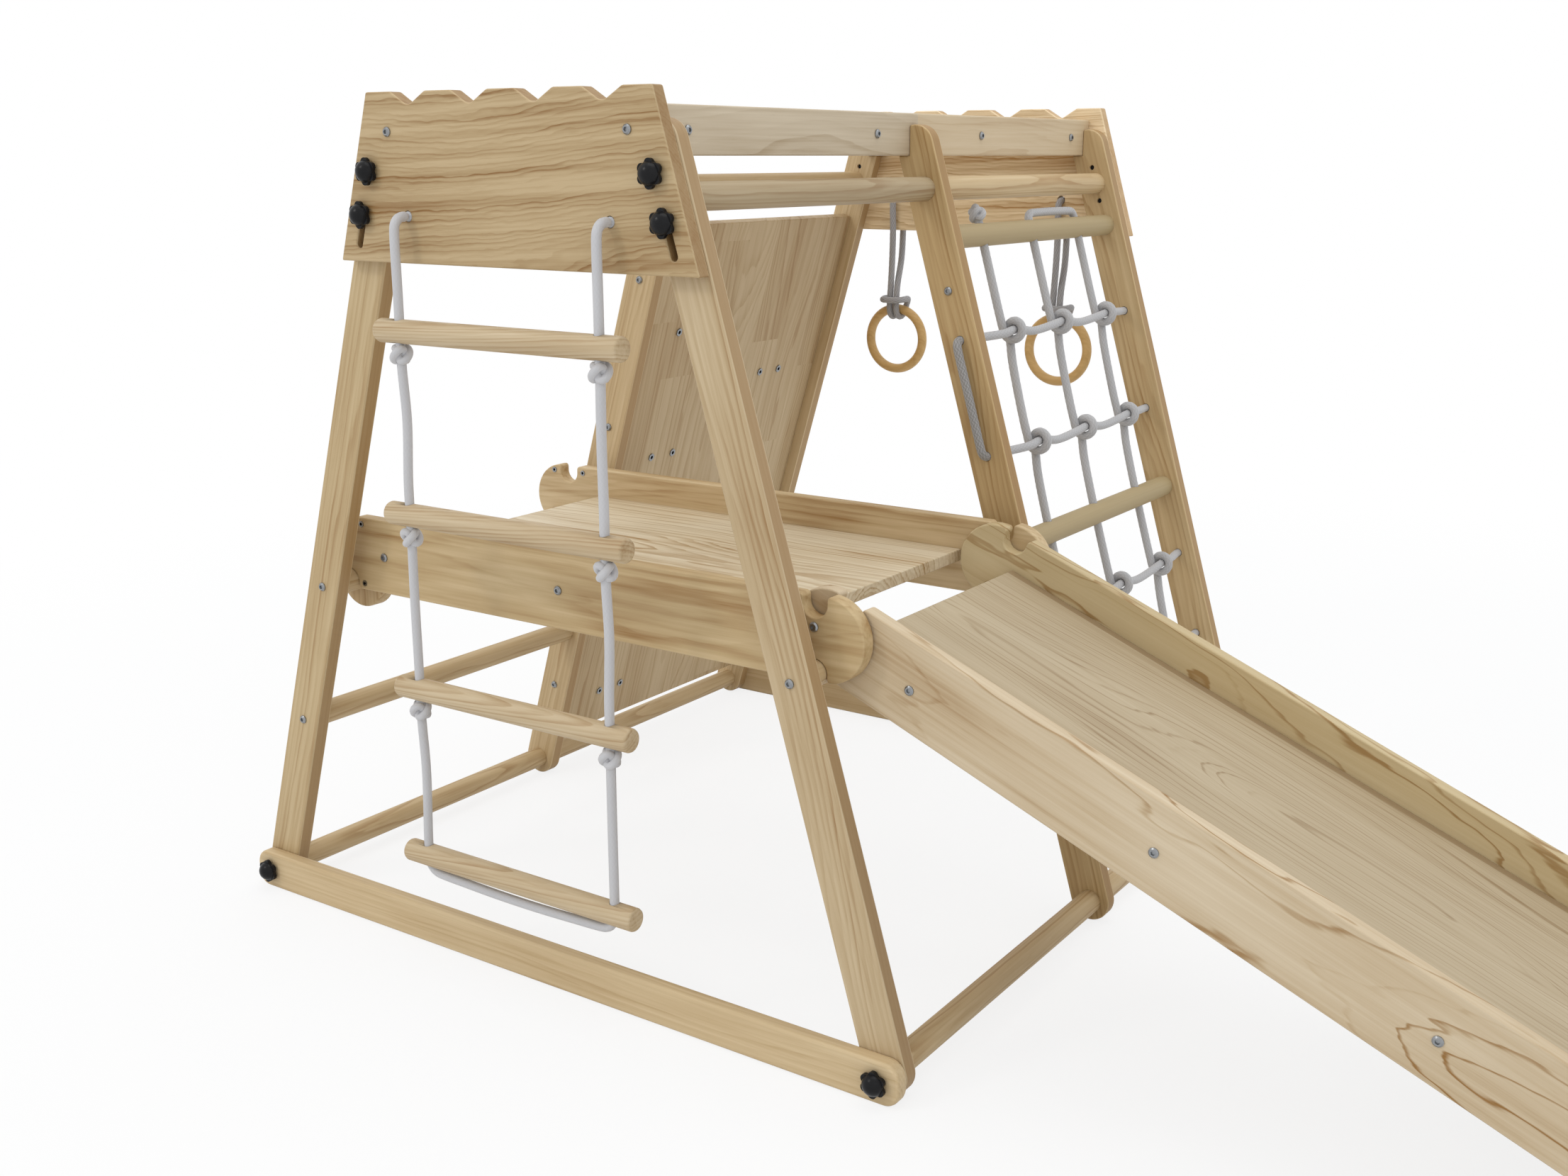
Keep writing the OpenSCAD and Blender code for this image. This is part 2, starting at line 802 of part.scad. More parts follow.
// A flanged sleeve nut that enters along +Y from a face at the origin, flanged again where it ends
module sleeve_nut(reach) {
    flange = guard_head_h + seat_gap;
    rotate([-90, 0, 0])
        difference() {
            union() {
                translate([0, 0, -flange])
                    cylinder(d = guard_d, h = reach + 2 * flange);
                for (z = [-flange, reach + seat_gap])
                    translate([0, 0, z])
                        cylinder(d = guard_head_d, h = guard_head_h);
            }
            for (z = [-flange - cut, reach + flange - board_t * 0.4])
                translate([0, 0, z])
                    cylinder(d = guard_bore, h = board_t * 0.4 + cut);
        }
}

// A button-head bolt that enters along +Y from a face at the origin
module bolt(reach, d = bolt_d, head_d = bolt_head_d, head_h = bolt_head_h) {
    rotate([-90, 0, 0])
        difference() {
            union() {
                cylinder(d = d, h = reach);
                translate([0, 0, -head_h * 0.45 - seat_gap])
                    cylinder(d = head_d, h = head_h * 0.45);
                translate([0, 0, -head_h - seat_gap])
                    cylinder(d1 = head_d * 0.72, d2 = head_d, h = head_h * 0.55);
                translate([0, 0, -seat_gap])
                    cylinder(d = d, h = seat_gap);
            }
            translate([0, 0, -head_h - seat_gap - cut])
                cylinder(d = min(socket_w, head_d * 0.6), h = socket_d + cut, $fn = 6);
        }
}

module platform_bolts() {
    color(steel)
        translate([0, 0, platform_mid_z])
            for (back = [0, 1])
                translate([0, back ? platform_y1 : platform_y0, 0])
                    mirror([0, back, 0]) {
                        for (x = deck_bolt_x)
                            translate([x, 0, 0])
                                bolt(board_t + bolt_reach - 4);
                        for (x = guard_x) {
                            translate([x, 0, guard_v])
                                sleeve_nut(board_t);
                            translate([x, 0, -guard_v])
                                sleeve_nut(board_t + seat_gap + keeper_t);
                        }
                        translate([hook_bar_x, 0, lock_v])
                            bolt(board_t);
                    }
}

// Slide: the same hooked ends, tilted until the lower noses stand on the floor

module on_slide() {
    translate([hook_bar_x, 0, hook_seat_z])
        rotate([0, slide_tilt, 0])
            translate([0, 0, notch_v])
                children();
}

slide_bolt_u = [for (i = [0:slide_bolt_count - 1]) slide_bolt_first + i * slide_bolt_pitch];

module slide_outline2d() {
    difference() {
        union() {
            for (u = [-hook_nose, slide_len])
                translate([u, 0])
                    circle(r = hook_half);
            translate([-hook_nose, -hook_half])
                square([slide_len + hook_nose, hook_h]);
        }
        notch_pair2d(0);
    }
}

module slide_side(y0) {
    color(wood)
        difference() {
            on_slide()
                board_y(y0, board_t)
                    slide_outline2d();
            on_slide()
                for (u = slide_bolt_u)
                    translate([u, y0 - cut, slide_deck_v])
                        rotate([-90, 0, 0])
                            cylinder(d = bolt_d + 2 * round_gap, h = board_t + 2 * cut);
        }
}

module slide_side_front() {
    slide_side(slide_y0);
}

module slide_side_back() {
    slide_side(slide_y1 - board_t);
}

module slide_deck() {
    y0 = slide_y0 + board_t + seat_gap;
    y1 = slide_y1 - board_t - seat_gap;
    color(pale_wood)
        on_slide()
            difference() {
                translate([slide_deck_start, y0, slide_deck_v - deck_t / 2])
                    cube([slide_deck_end - slide_deck_start, y1 - y0, deck_t]);
                for (u = slide_bolt_u, y = [y0 - cut, y1 - bolt_reach])
                    translate([u, y, slide_deck_v])
                        rotate([-90, 0, 0])
                            cylinder(d = bolt_d + 2 * round_gap, h = bolt_reach + cut);
            }
}

// The heads are low enough to pass beside the platform's boards
module slide_bolts() {
    color(steel)
        on_slide()
            for (u = slide_bolt_u, back = [0, 1])
                translate([u, back ? slide_y1 : slide_y0, slide_deck_v])
                    mirror([0, back, 0])
                        bolt(board_t + bolt_reach - 4, head_h = min(bolt_head_h, slide_gap - 2 * round_gap));
}

// Bolts of the frame, each entering from the face that shows its head

module leg_bolt(side, z, y, back = 0) {
    translate([side * leg_x(z), y, z])
        mirror([0, back, 0])
            bolt(leg_t + bolt_reach - 4);
}

module frame_bolts() {
    color(steel) {
        leg_bolt(-1, platform_bar_z, front_y);
        leg_bolt(-1, left_bar_z, front_y);
        leg_bolt(1, platform_bar_z, front_y);
        leg_bolt(1, net_bar_low_z, rear_y, 1);
        for (z = wall_bolt_z) {
            leg_bolt(-1, z, mid_y);
            leg_bolt(-1, z, rear_y, 1);
        }
        translate([leg_x(spare_bolt_z), mid_y, spare_bolt_z])
            bolt(leg_t);
        for (side = [-1, 1]) {
            translate([side * panel_bolt_x, -front_y, rail_mid_z])
                bolt(board_t + bolt_reach - 4);
            translate([side * panel_bolt_x, rear_y + board_t, rail_mid_z])
                mirror([0, 1, 0])
                    bolt(board_t + bolt_reach - 4);
            for (y = cross_bar_y)
                translate([side * rail_x, front_y + y, rail_mid_z])
                    rotate([0, 0, side * 90])
                        bolt(top_rail_t + bolt_reach - 4);
        }
    }
}

// Studs hidden in the bars' ends
module bar_studs() {
    reach = bolt_reach - 4;
    color(steel)
        for (side = [-1, 1]) {
            pin_y(side, upper_bar_z, bolt_d, front_y + leg_t - stud_reach, front_y + leg_t + reach);
            pin_y(side, upper_bar_z, bolt_d, mid_y - reach, mid_y + leg_t + reach);
            pin_y(side, upper_bar_z, bolt_d, back_y - reach, back_y + stud_reach);
            pin_y(side, platform_bar_z, bolt_d, mid_y - reach, mid_y + stud_reach);
            pin_y(side, foot_r, bolt_d, mid_y - reach, mid_y + leg_t + reach);
        }
    color(steel) {
        pin_y(-1, left_bar_z, bolt_d, mid_y - reach, mid_y + stud_reach);
        pin_y(1, net_bar_high_z, bolt_d, mid_y + leg_t - stud_reach, mid_y + leg_t + reach);
        pin_y(1, net_bar_high_z, bolt_d, back_y - reach, back_y + stud_reach);
        pin_y(1, net_bar_low_z, bolt_d, mid_y + leg_t - stud_reach, mid_y + leg_t + reach);
    }
}

// Star knobs: six lobes round a domed hub, on a threaded stud

module star_knob(stud) {
    lobe_r = knob_d * 0.17;
    lobe_out = knob_d / 2 - lobe_r;
    hub_r = knob_d * 0.40;
    // A hollow between two lobes touches both of them and the hub
    mid = lobe_out * cos(30);
    web_r = (pow(hub_r, 2) + pow(lobe_out, 2) - pow(lobe_r, 2) - 2 * mid * hub_r) / (2 * (lobe_r - hub_r + mid));
    web = (hub_r + web_r) * [cos(30), sin(30)];
    rim_h = knob_h * 0.46;
    dome_r = (pow(hub_r, 2) + pow(knob_h - rim_h, 2)) / (2 * (knob_h - rim_h));
    rotate([90, 0, 0]) {
        cylinder(d = knob_d * 0.55, h = knob_h * 0.3);
        translate([0, 0, knob_h * 0.2])
            linear_extrude(rim_h - knob_h * 0.2) {
                circle(r = hub_r);
                for (i = [0:5])
                    rotate(30 + i * 60) {
                        translate([lobe_out, 0])
                            circle(r = lobe_r);
                        difference() {
                            polygon([[0, 0], [lobe_out, 0], web, lobe_out * [cos(60), sin(60)]]);
                            translate(web)
                                circle(r = web_r);
                        }
                    }
            }
        intersection() {
            translate([0, 0, knob_h - dome_r])
                sphere(r = dome_r);
            translate([0, 0, rim_h - cut])
                cylinder(r = hub_r, h = knob_h);
        }
        translate([0, 0, -stud])
            cylinder(d = knob_stud_d, h = stud + cut);
    }
}

// A knob on the front faces when back is 0, and on the back faces when it is 1
module knob(side, back, z) {
    stud = board_t + leg_t + (z == foot_r ? bolt_reach - 6 : -4);
    face = back ? rear_y + board_t + seat_gap : -front_y - seat_gap;
    color(black)
        translate([side * leg_x(z), face, z])
            mirror([0, back, 0])
                star_knob(stud);
}

// Ropes: one tube swept along its points, each ring square to the route there

function unit(v) = v / norm(v);
function step_at(p, i) = unit(p[i + 1] - p[i]);
function heading(p, i) = i == 0 ? step_at(p, 0)
    : i == len(p) - 1 ? step_at(p, i - 1)
    : unit(step_at(p, i - 1) + step_at(p, i));
function ring_at(c, t, r, n, guide) =
    let (a = unit(cross(t, guide)), b = cross(t, a))
    [for (k = [0:n - 1]) c + r * (cos(360 * k / n) * a + sin(360 * k / n) * b)];

// The turns, in degrees, at which a domed end is cut into rings
dome = [72, 48, 24];

module rope(p, d, guide = [1, 1, 1], n = 8, domed = false) {
    r = d / 2;
    q = len(p) - 1;
    start = [for (a = dome) each ring_at(p[0] - r * sin(a) * heading(p, 0), heading(p, 0), r * cos(a), n, guide)];
    end = [for (i = [2:-1:0]) let (a = dome[i])
        each ring_at(p[q] + r * sin(a) * heading(p, q), heading(p, q), r * cos(a), n, guide)];
    tube = [for (i = [0:q]) each ring_at(p[i], heading(p, i), r, n, guide)];
    rings = domed ? concat(start, tube, end) : tube;
    m = len(rings) / n;
    walls = [for (i = [0:m - 2], k = [0:n - 1])
        let (a = i * n + k, b = i * n + (k + 1) % n)
        each [[b, a, a + n], [b, a + n, b + n]]];
    first = [for (k = [1:n - 2]) [0, k, k + 1]];
    last = [for (k = [1:n - 2]) let (o = (m - 1) * n) [o, o + k + 1, o + k]];
    polyhedron(points = rings, faces = concat(walls, first, last), convexity = 6);
}

// Points of a quarter bend from a straight run to another, about a corner
function bend(corner, from, to, r, steps = 4) =
    [for (i = [0:steps]) let (a = 90 * i / steps)
        corner + r * ((1 - sin(a)) * from + (1 - cos(a)) * to)];

// Rope ladder: the rope leaves a hole, hangs through the rungs, and returns under the last

mouth_y = -front_y - ladder_r - round_gap;
ladder_bend = ladder_out - ladder_r - round_gap - 2;
rope_x = rope_hole_x;
under_z = rung_low_z - rung_d / 2 - ladder_r - 2;
under_bend = 22;
under_sag = 4;

function ladder_side(side) = concat(
    [[side * rope_x, mouth_y, rope_hole_z]],
    bend([side * rope_x, ladder_y, rope_hole_z], [0, 1, 0], [0, 0, -1], ladder_bend),
    [for (i = [3:-1:1]) each [
        [side * rope_x, ladder_y, rung_z[i] + 60],
        [side * rope_x, ladder_y, rung_z[i]],
        [side * rope_x, ladder_y, rung_z[i] - 60]
    ]],
    [[side * rope_x, ladder_y, rung_z[0] + rung_d / 2 + 8]],
    bend([side * rope_x, ladder_y, under_z], [0, 0, 1], [-side, 0, 0], under_bend));

function reverse(p) = [for (i = [len(p) - 1:-1:0]) p[i]];

module ladder_rope() {
    p = concat(
        ladder_side(-1),
        [for (t = [-0.68:0.34:0.68]) [t * (rope_x - under_bend), ladder_y, under_z - under_sag * cos(90 * t)]],
        reverse(ladder_side(1)));
    color(white_rope)
        rope(p, ladder_rope_d, guide = [1, 1, 0.4], n = 10, domed = true);
}

// A knot: two turns stacked round the ladder's rope
knot_h = 27;

module knot() {
    inner = ladder_r + round_gap;
    rotate_extrude()
        difference() {
            union() {
                for (v = [0.5 - knot_h / 4, knot_h / 4 - 0.5])
                    translate([inner, v])
                        circle(d = knot_h / 2 + 1);
            }
            translate([-knot_h, -knot_h])
                square([knot_h + inner, 2 * knot_h]);
        }
}

// The knots under the three upper rungs, one on each side
module ladder_knots() {
    color(white_rope)
        for (side = [-1, 1], i = [1:3])
            translate([side * rope_x, ladder_y, rung_z[i] - rung_d / 2 - round_gap - knot_h / 2])
                knot();
}

groove_w = ladder_rope_d + 1.6;

// A quarter turn of the groove, from the hole to the rung's underside
module groove2d() {
    reach = under_bend + groove_w;
    intersection() {
        difference() {
            circle(r = under_bend + groove_w / 2);
            circle(r = under_bend - groove_w / 2);
        }
        translate([0, -reach])
            square(reach);
    }
}

module ladder_rungs() {
    hole_d = ladder_rope_d + 1.2;
    color(wood)
        for (i = [0:3])
            translate([0, ladder_y, rung_z[i]])
                difference() {
                    rotate([0, 90, 0])
                        cylinder(d = rung_d, h = rung_len, center = true);
                    for (side = [-1, 1]) {
                        translate([side * rope_x, 0, 0])
                            cylinder(d = hole_d, h = rung_d + 2, center = true);
                        // The rope turns in under the lowest rung, in a curved groove
                        if (i == 0)
                            translate([side * (rope_x - under_bend), 0, under_z - rung_z[0] + under_bend])
                                mirror([side < 0 ? 1 : 0, 0, 0])
                                    board_y(-groove_w / 2, groove_w)
                                        groove2d();
                    }
                }
}

// The rope's two ends: through the panel, with a stopper knot behind it
module ladder_rope_ends() {
    color(white_rope)
        for (side = [-1, 1])
            translate([side * rope_hole_x, 0, rope_hole_z])
                rotate([-90, 0, 0]) {
                    translate([0, 0, -front_y])
                        cylinder(d = ladder_rope_d, h = board_t + knot_h + 12);
                    translate([0, 0, front_y + round_gap + knot_h / 2])
                        knot();
                }
}

// Rings: each hangs from a rope loop that straddles the back panel through its hole

module wooden_ring(side) {
    color(wood)
        translate([side * rope_hole_x, ring_y, ring_z])
            rotate([90, 0, 0])
                rotate_extrude()
                    translate([ring_r, 0])
                        circle(d = ring_t);
}

module ring_left() {
    wooden_ring(-1);
}

module ring_right() {
    wooden_ring(1);
}

module ring_rope(side) {
    out = board_t / 2 + loop_r + 4;
    hitch_r = ring_t / 2 + loop_r + round_gap;
    low = ring_z + ring_r + hitch_r + loop_r - 2 * round_gap;
    // The loop bears on the bottom of its hole
    bear_z = rope_hole_z - (rope_hole_d / 2 - loop_r - round_gap);
    // The bend starts clear of the panel's faces
    corner = loop_r + 3;
    half = concat(
        [[0, 7, low], [0, 8, low + 20], [0, out - 6, low + 70], [0, out - 2, panel_bottom_z + 4]],
        bend([0, out, bear_z], [0, 0, -1], [0, -1, 0], corner));
    loop = concat(half, reverse([for (q = half) [0, -q[1], q[2]]]));
    color(grey_rope)
        translate([side * rope_hole_x, ring_y, 0]) {
            rope(loop, ring_rope_d, guide = [1, 0, 0]);
            for (dx = [-1, 1])
                translate([dx * (loop_r + round_gap), 0, ring_z + ring_r])
                    rotate([0, 90, 0])
                        rotate_extrude()
                            translate([hitch_r, 0])
                                circle(d = ring_rope_d - 0.4);
        }
}

module ring_rope_left() {
    ring_rope(-1);
}

module ring_rope_right() {
    ring_rope(1);
}

// Net: upright ropes through the net bars, rows through the legs, and a hitch at each crossing

row_out = net_rope_d + 0.6;
turn_r = 12;
tail_low = along(net_row_z[3]) - 32;

// A point of the net: out from the legs' middle plane, back along Y, and up along the legs
function net_point(out, y, s) = [out, y, s];

module net_upright(y, top) {
    rope([for (s = [tail_low, along(net_row_z[3]), along(net_row_z[2]), along(net_bar_low_z),
                    along(net_row_z[1]), along(net_row_z[0]), along(net_bar_high_z), top])
        net_point(0, y, s)], net_rope_d, guide = [0, 1, 0]);
}

function row_points(z, away) = let (s = along(z), y0 = mid_y + 4, y1 = rear_y - 4) away
    ? [net_point(0, y0, s), net_point(0, mid_y + leg_t + 8, s), net_point(row_out, net_y[0] - 30, s),
       for (y = net_y) net_point(row_out, y, s), net_point(row_out, net_y[2] + 30, s),
       net_point(0, back_y - 8, s), net_point(0, y1, s)]
    : reverse(row_points(z, true));

// The turn between two rows, flat against a leg's outer face
function turn_points(z0, z1, y, dir) = let (s0 = along(z0), s1 = along(z1), r = turn_r)
    concat(
        bend([0, y, s0], [0, -dir, 0], [0, 0, -1], r),
        [[0, y, (s0 + s1) / 2]],
        bend([0, y, s1], [0, 0, 1], [0, -dir, 0], r));

module climbing_net() {
    p = concat(
        reverse(row_points(net_row_z[0], true)),
        turn_points(net_row_z[0], net_row_z[1], mid_y - turn_r, -1),
        row_points(net_row_z[1], true),
        turn_points(net_row_z[1], net_row_z[2], rear_y + turn_r, 1),
        reverse(row_points(net_row_z[2], true)),
        turn_points(net_row_z[2], net_row_z[3], mid_y - turn_r, -1),
        row_points(net_row_z[3], true));
    bridge = along(net_bar_high_z) + bar_r + net_r + 4;
    color(grey_rope)
        on_leg(1, 0) {
            rope(p, net_rope_d, guide = [1, 0.2, 0.3]);
            net_upright(net_y[0], along(net_bar_high_z) + bar_r + 4);
            // The two back uprights are one rope, led over the bar
            rope(concat(
                [for (s = [tail_low, along(net_row_z[3]), along(net_row_z[2]), along(net_bar_low_z),
                           along(net_row_z[1]), along(net_row_z[0]), along(net_bar_high_z)])
                    net_point(0, net_y[1], s)],
                bend([0, net_y[1], bridge], [0, 0, -1], [0, 1, 0], turn_r),
                bend([0, net_y[2], bridge], [0, -1, 0], [0, 0, -1], turn_r),
                [for (s = [along(net_bar_high_z), along(net_row_z[0]), along(net_row_z[1]),
                           along(net_bar_low_z), along(net_row_z[2]), along(net_row_z[3]), tail_low])
                    net_point(0, net_y[2], s)]), net_rope_d, guide = [1, 0, 0]);
            // Hitches round the rows, beside each upright
            for (y = net_y, z = net_row_z)
                translate([row_out, y + net_rope_d, along(z)])
                    rotate([90, 0, 0])
                        rotate_extrude()
                            translate([net_r + round_gap + 2.5, 0])
                                circle(d = 5);
            // The stopper knot of the first upright, above the bar
            translate([0, net_y[0], along(net_bar_high_z) + bar_r + 4 + 12])
                sphere(r = 11.5);
        }
}

leg_front_left();
leg_front_right();
leg_middle_left();
leg_middle_right();
leg_back_left();
leg_back_right();
top_rail_left();
top_rail_right();
cross_bars();
end_panel_front();
end_panel_back();
base_rail_front();
base_rail_back();
hand_bar_left_front();
hand_bar_left_back();
hand_bar_right_front();
hand_bar_right_back();
platform_bar_left();
platform_bar_right();
climbing_bar_left();
net_bars();
foot_bar_left_front();
foot_bar_left_back();
foot_bar_right_front();
foot_bar_right_back();
climbing_wall();
climbing_holds();
hold_fasteners();
platform_side_front();
platform_side_back();
platform_deck();
platform_keepers();
platform_bolts();
slide_side_front();
slide_side_back();
slide_deck();
slide_bolts();
ladder_rope();
ladder_knots();
ladder_rungs();
ladder_rope_ends();
ring_left();
ring_right();
ring_rope_left();
ring_rope_right();
climbing_net();
frame_bolts();
bar_studs();
knob(-1, 0, knob_high_z);  // knob_front_left_high
knob(-1, 0, knob_low_z);  // knob_front_left_low
knob(1, 0, knob_high_z);  // knob_front_right_high
knob(1, 0, knob_low_z);  // knob_front_right_low
knob(-1, 0, foot_r);  // knob_front_left_base
knob(1, 0, foot_r);  // knob_front_right_base
knob(-1, 1, knob_high_z);  // knob_back_left_high
knob(-1, 1, knob_low_z);  // knob_back_left_low
knob(1, 1, knob_high_z);  // knob_back_right_high
knob(1, 1, knob_low_z);  // knob_back_right_low
knob(-1, 1, foot_r);  // knob_back_left_base
knob(1, 1, foot_r);  // knob_back_right_base
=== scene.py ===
import json
import math

import bmesh
import bpy
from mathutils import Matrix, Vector

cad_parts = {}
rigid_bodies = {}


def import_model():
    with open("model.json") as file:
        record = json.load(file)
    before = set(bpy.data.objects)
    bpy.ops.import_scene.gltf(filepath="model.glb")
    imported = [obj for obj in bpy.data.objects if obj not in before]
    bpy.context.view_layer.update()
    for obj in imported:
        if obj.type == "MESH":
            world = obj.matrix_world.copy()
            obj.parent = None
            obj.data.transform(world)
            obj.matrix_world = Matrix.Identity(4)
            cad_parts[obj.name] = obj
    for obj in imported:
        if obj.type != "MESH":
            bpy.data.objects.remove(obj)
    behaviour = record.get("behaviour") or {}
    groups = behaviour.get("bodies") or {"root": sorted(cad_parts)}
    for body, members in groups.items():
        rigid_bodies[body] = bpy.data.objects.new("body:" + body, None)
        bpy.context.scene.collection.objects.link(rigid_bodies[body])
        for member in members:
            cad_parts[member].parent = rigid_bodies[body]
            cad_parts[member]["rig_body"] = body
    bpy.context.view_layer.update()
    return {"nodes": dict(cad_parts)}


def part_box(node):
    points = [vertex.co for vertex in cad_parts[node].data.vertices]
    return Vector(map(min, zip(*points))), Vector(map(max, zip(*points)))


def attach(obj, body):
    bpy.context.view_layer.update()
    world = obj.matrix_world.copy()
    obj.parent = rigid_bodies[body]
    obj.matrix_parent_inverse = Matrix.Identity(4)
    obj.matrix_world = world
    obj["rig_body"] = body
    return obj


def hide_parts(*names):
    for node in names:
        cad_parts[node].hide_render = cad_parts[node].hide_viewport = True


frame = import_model()
scene = bpy.context.scene
scene.view_settings.view_transform = "Standard"
print("frame loaded:", len(frame["nodes"]), "nodes")

mm = 0.001

# camera at the photograph's place; the picture is 2212 x 1659
shot = {"place": (1494.4, -1579.8, 1120.5), "yaw": 34.357, "pitch": 14.457, "lens": 38.53, "sensor": 36.0}


def aimCamera(look):
    yaw, pitch = math.radians(look["yaw"]), math.radians(look["pitch"])
    ahead = Vector((-math.sin(yaw) * math.cos(pitch), math.cos(yaw) * math.cos(pitch), -math.sin(pitch)))
    data = bpy.data.cameras.new("shotCamera")
    data.lens = look["lens"]
    data.sensor_width = look["sensor"]
    data.clip_end = 60
    camera = bpy.data.objects.new("shotCamera", data)
    scene.collection.objects.link(camera)
    camera.location = Vector(look["place"]) * mm
    camera.rotation_euler = ahead.to_track_quat("-Z", "Y").to_euler()
    scene.camera = camera


aimCamera(shot)

# the sizes that the ropes and the grain follow, as in the part's source: millimetres, tilts in degrees
legLean = 16.6
build = {
    "lean": math.radians(legLean), "footX": 557.0, "footR": 30.0, "legT": 24.0, "midY": 609.0, "backY": 1207.0,
    "rearY": 1231.0, "barR": 17.5, "netBarHigh": 1003.0, "netBarLow": 555.0, "holeX": 170.87, "holeZ": 1043.49,
    "panelFront": -11.0, "panelT": 22.0, "slideTilt": 22.52,
}


def along(z):
    return (z - build["footR"]) / math.cos(build["lean"])


def onLeg(out, y, s):
    # a point in the right legs' plane: out from it, back along y, up along the legs
    lean = build["lean"]
    x = build["footX"] + out * math.cos(lean) - s * math.sin(lean)
    return (x, y, build["footR"] + out * math.sin(lean) + s * math.cos(lean))


def smoothRoute(points, step, closed=False):
    # an even walk along a smooth curve through the points, in metres
    knots = [Vector(p) * mm for p in points]
    if closed:
        ends = [knots[-1], *knots, knots[0], knots[1]]
    else:
        ends = [2 * knots[0] - knots[1], *knots, 2 * knots[-1] - knots[-2]]
    fine = []
    for a, b, c, d in zip(ends, ends[1:], ends[2:], ends[3:]):
        ta, tb, tc = (max((q - p).length, 1e-6) ** 0.5 for p, q in ((a, b), (b, c), (c, d)))
        m1 = ((b - a) / ta - (c - a) / (ta + tb) + (c - b) / tb) * tb
        m2 = ((c - b) / tb - (d - b) / (tb + tc) + (d - c) / tc) * tb
        count = max(4, int((c - b).length / (step * mm) * 3))
        for i in range(count):
            t = i / count
            fine.append((2 * t**3 - 3 * t**2 + 1) * b + (t**3 - 2 * t**2 + t) * m1
                        + (3 * t**2 - 2 * t**3) * c + (t**3 - t**2) * m2)
    if not closed:
        fine.append(knots[-1])
    walk = [fine[0]]
    total = sum((q - p).length for p, q in zip(fine, fine[1:]))
    pace = total / max(2, round(total / (step * mm)))
    gone = 0.0
    for p, q in zip(fine, fine[1:]):
        piece = (q - p).length
        while gone + piece >= pace * len(walk) - 1e-9 and piece > 0:
            walk.append(p.lerp(q, (pace * len(walk) - gone) / piece))
        gone += piece
    return walk


def routeLength(route):
    return sum((q - p).length for p, q in zip(route, route[1:]))


def addPiece(name, mesh, body, finish=None, node=None):
    piece = bpy.data.objects.new(name, mesh)
    scene.collection.objects.link(piece)
    if finish:
        mesh.materials.clear()
        mesh.materials.append(finish)
    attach(piece, body)
    for one in node or ():
        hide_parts(one)
    return piece


def camel(node):
    first, *rest = node.split("_")
    return first + "".join(word.capitalize() for word in rest)


def smoothFaces(mesh):
    mesh.polygons.foreach_set("use_smooth", [True] * len(mesh.polygons))


# the net and ring ropes are braided deeper than the ladder's; lengths in millimetres, dome in degrees
braid = {"strands": 8, "pitch": 9.0, "depth": 0.32, "level": 0.7}
plainBraid = {**braid, "depth": 0.06}
tube = {"sides": 4, "dome": (85, 65, 42, 20), "weld": 1e-6}


def weave(u, v, look):
    # height of a flat braid at a place along, in millimetres, and round the rope, in turns
    a = v * look["strands"] + u / look["pitch"]
    b = v * look["strands"] - u / look["pitch"]
    over = (math.floor(a) + math.floor(b)) % 2
    return math.sin(math.pi * ((b if over else a) % 1.0))


def domedRoute(route, radius, domed):
    # the route with a share of the radius at each point; a domed end runs out in a half ball
    turns = [math.radians(v) for v in tube["dome"]]
    first, last = (route[0] - route[1]).normalized(), (route[-1] - route[-2]).normalized()
    start = [(route[0] + first * radius * mm * math.sin(t), math.cos(t)) for t in turns]
    end = [(route[-1] + last * radius * mm * math.sin(t), math.cos(t)) for t in reversed(turns)]
    return (start if domed[0] else []) + [(place, 1.0) for place in route] + (end if domed[1] else [])


def ropeMesh(name, route, radius, look, closed=False, domed=(True, True)):
    line = bpy.data.curves.new(name + "Line", "CURVE")
    line.dimensions = "3D"
    line.bevel_depth = radius * mm
    line.bevel_resolution = tube["sides"]
    line.use_fill_caps = not closed
    line.twist_mode = "MINIMUM"
    spline = line.splines.new("POLY")
    places = [(place, 1.0) for place in route] if closed else domedRoute(route, radius, domed)
    spline.points.add(len(places) - 1)
    spline.use_cyclic_u = closed
    for point, (place, share) in zip(spline.points, places):
        point.co = (*place, 1.0)
        point.radius = share
    holder = bpy.data.objects.new(name + "Line", line)
    scene.collection.objects.link(holder)
    bpy.context.view_layer.update()
    mesh = bpy.data.meshes.new_from_object(holder.evaluated_get(bpy.context.evaluated_depsgraph_get()))
    bpy.data.objects.remove(holder)
    mesh.name = name
    joined = bmesh.new()  # the caps are joined to the tube
    joined.from_mesh(mesh)
    bmesh.ops.remove_doubles(joined, verts=joined.verts, dist=tube["weld"])
    joined.to_mesh(mesh)
    joined.free()
    length = routeLength(route) / mm
    wrap = mesh.uv_layers.active or mesh.uv_layers.new(name="UVMap")
    seat = {}
    for loop in mesh.loops:
        uv = wrap.data[loop.index].uv
        seat.setdefault(loop.vertex_index, (uv[0], uv[1]))
        wrap.data[loop.index].uv = (uv[0] * length / look["pitch"], uv[1])
    if look["depth"]:
        normals = [Vector(n.vector) for n in mesh.vertex_normals]
        for index, (u, v) in seat.items():
            lift = (weave(u * length, v, look) - look["level"]) * look["depth"] * mm
            mesh.vertices[index].co += normals[index] * lift
    smoothFaces(mesh)
    return mesh


print("camera set")


# sockets as values, so that shader maths reads as sums

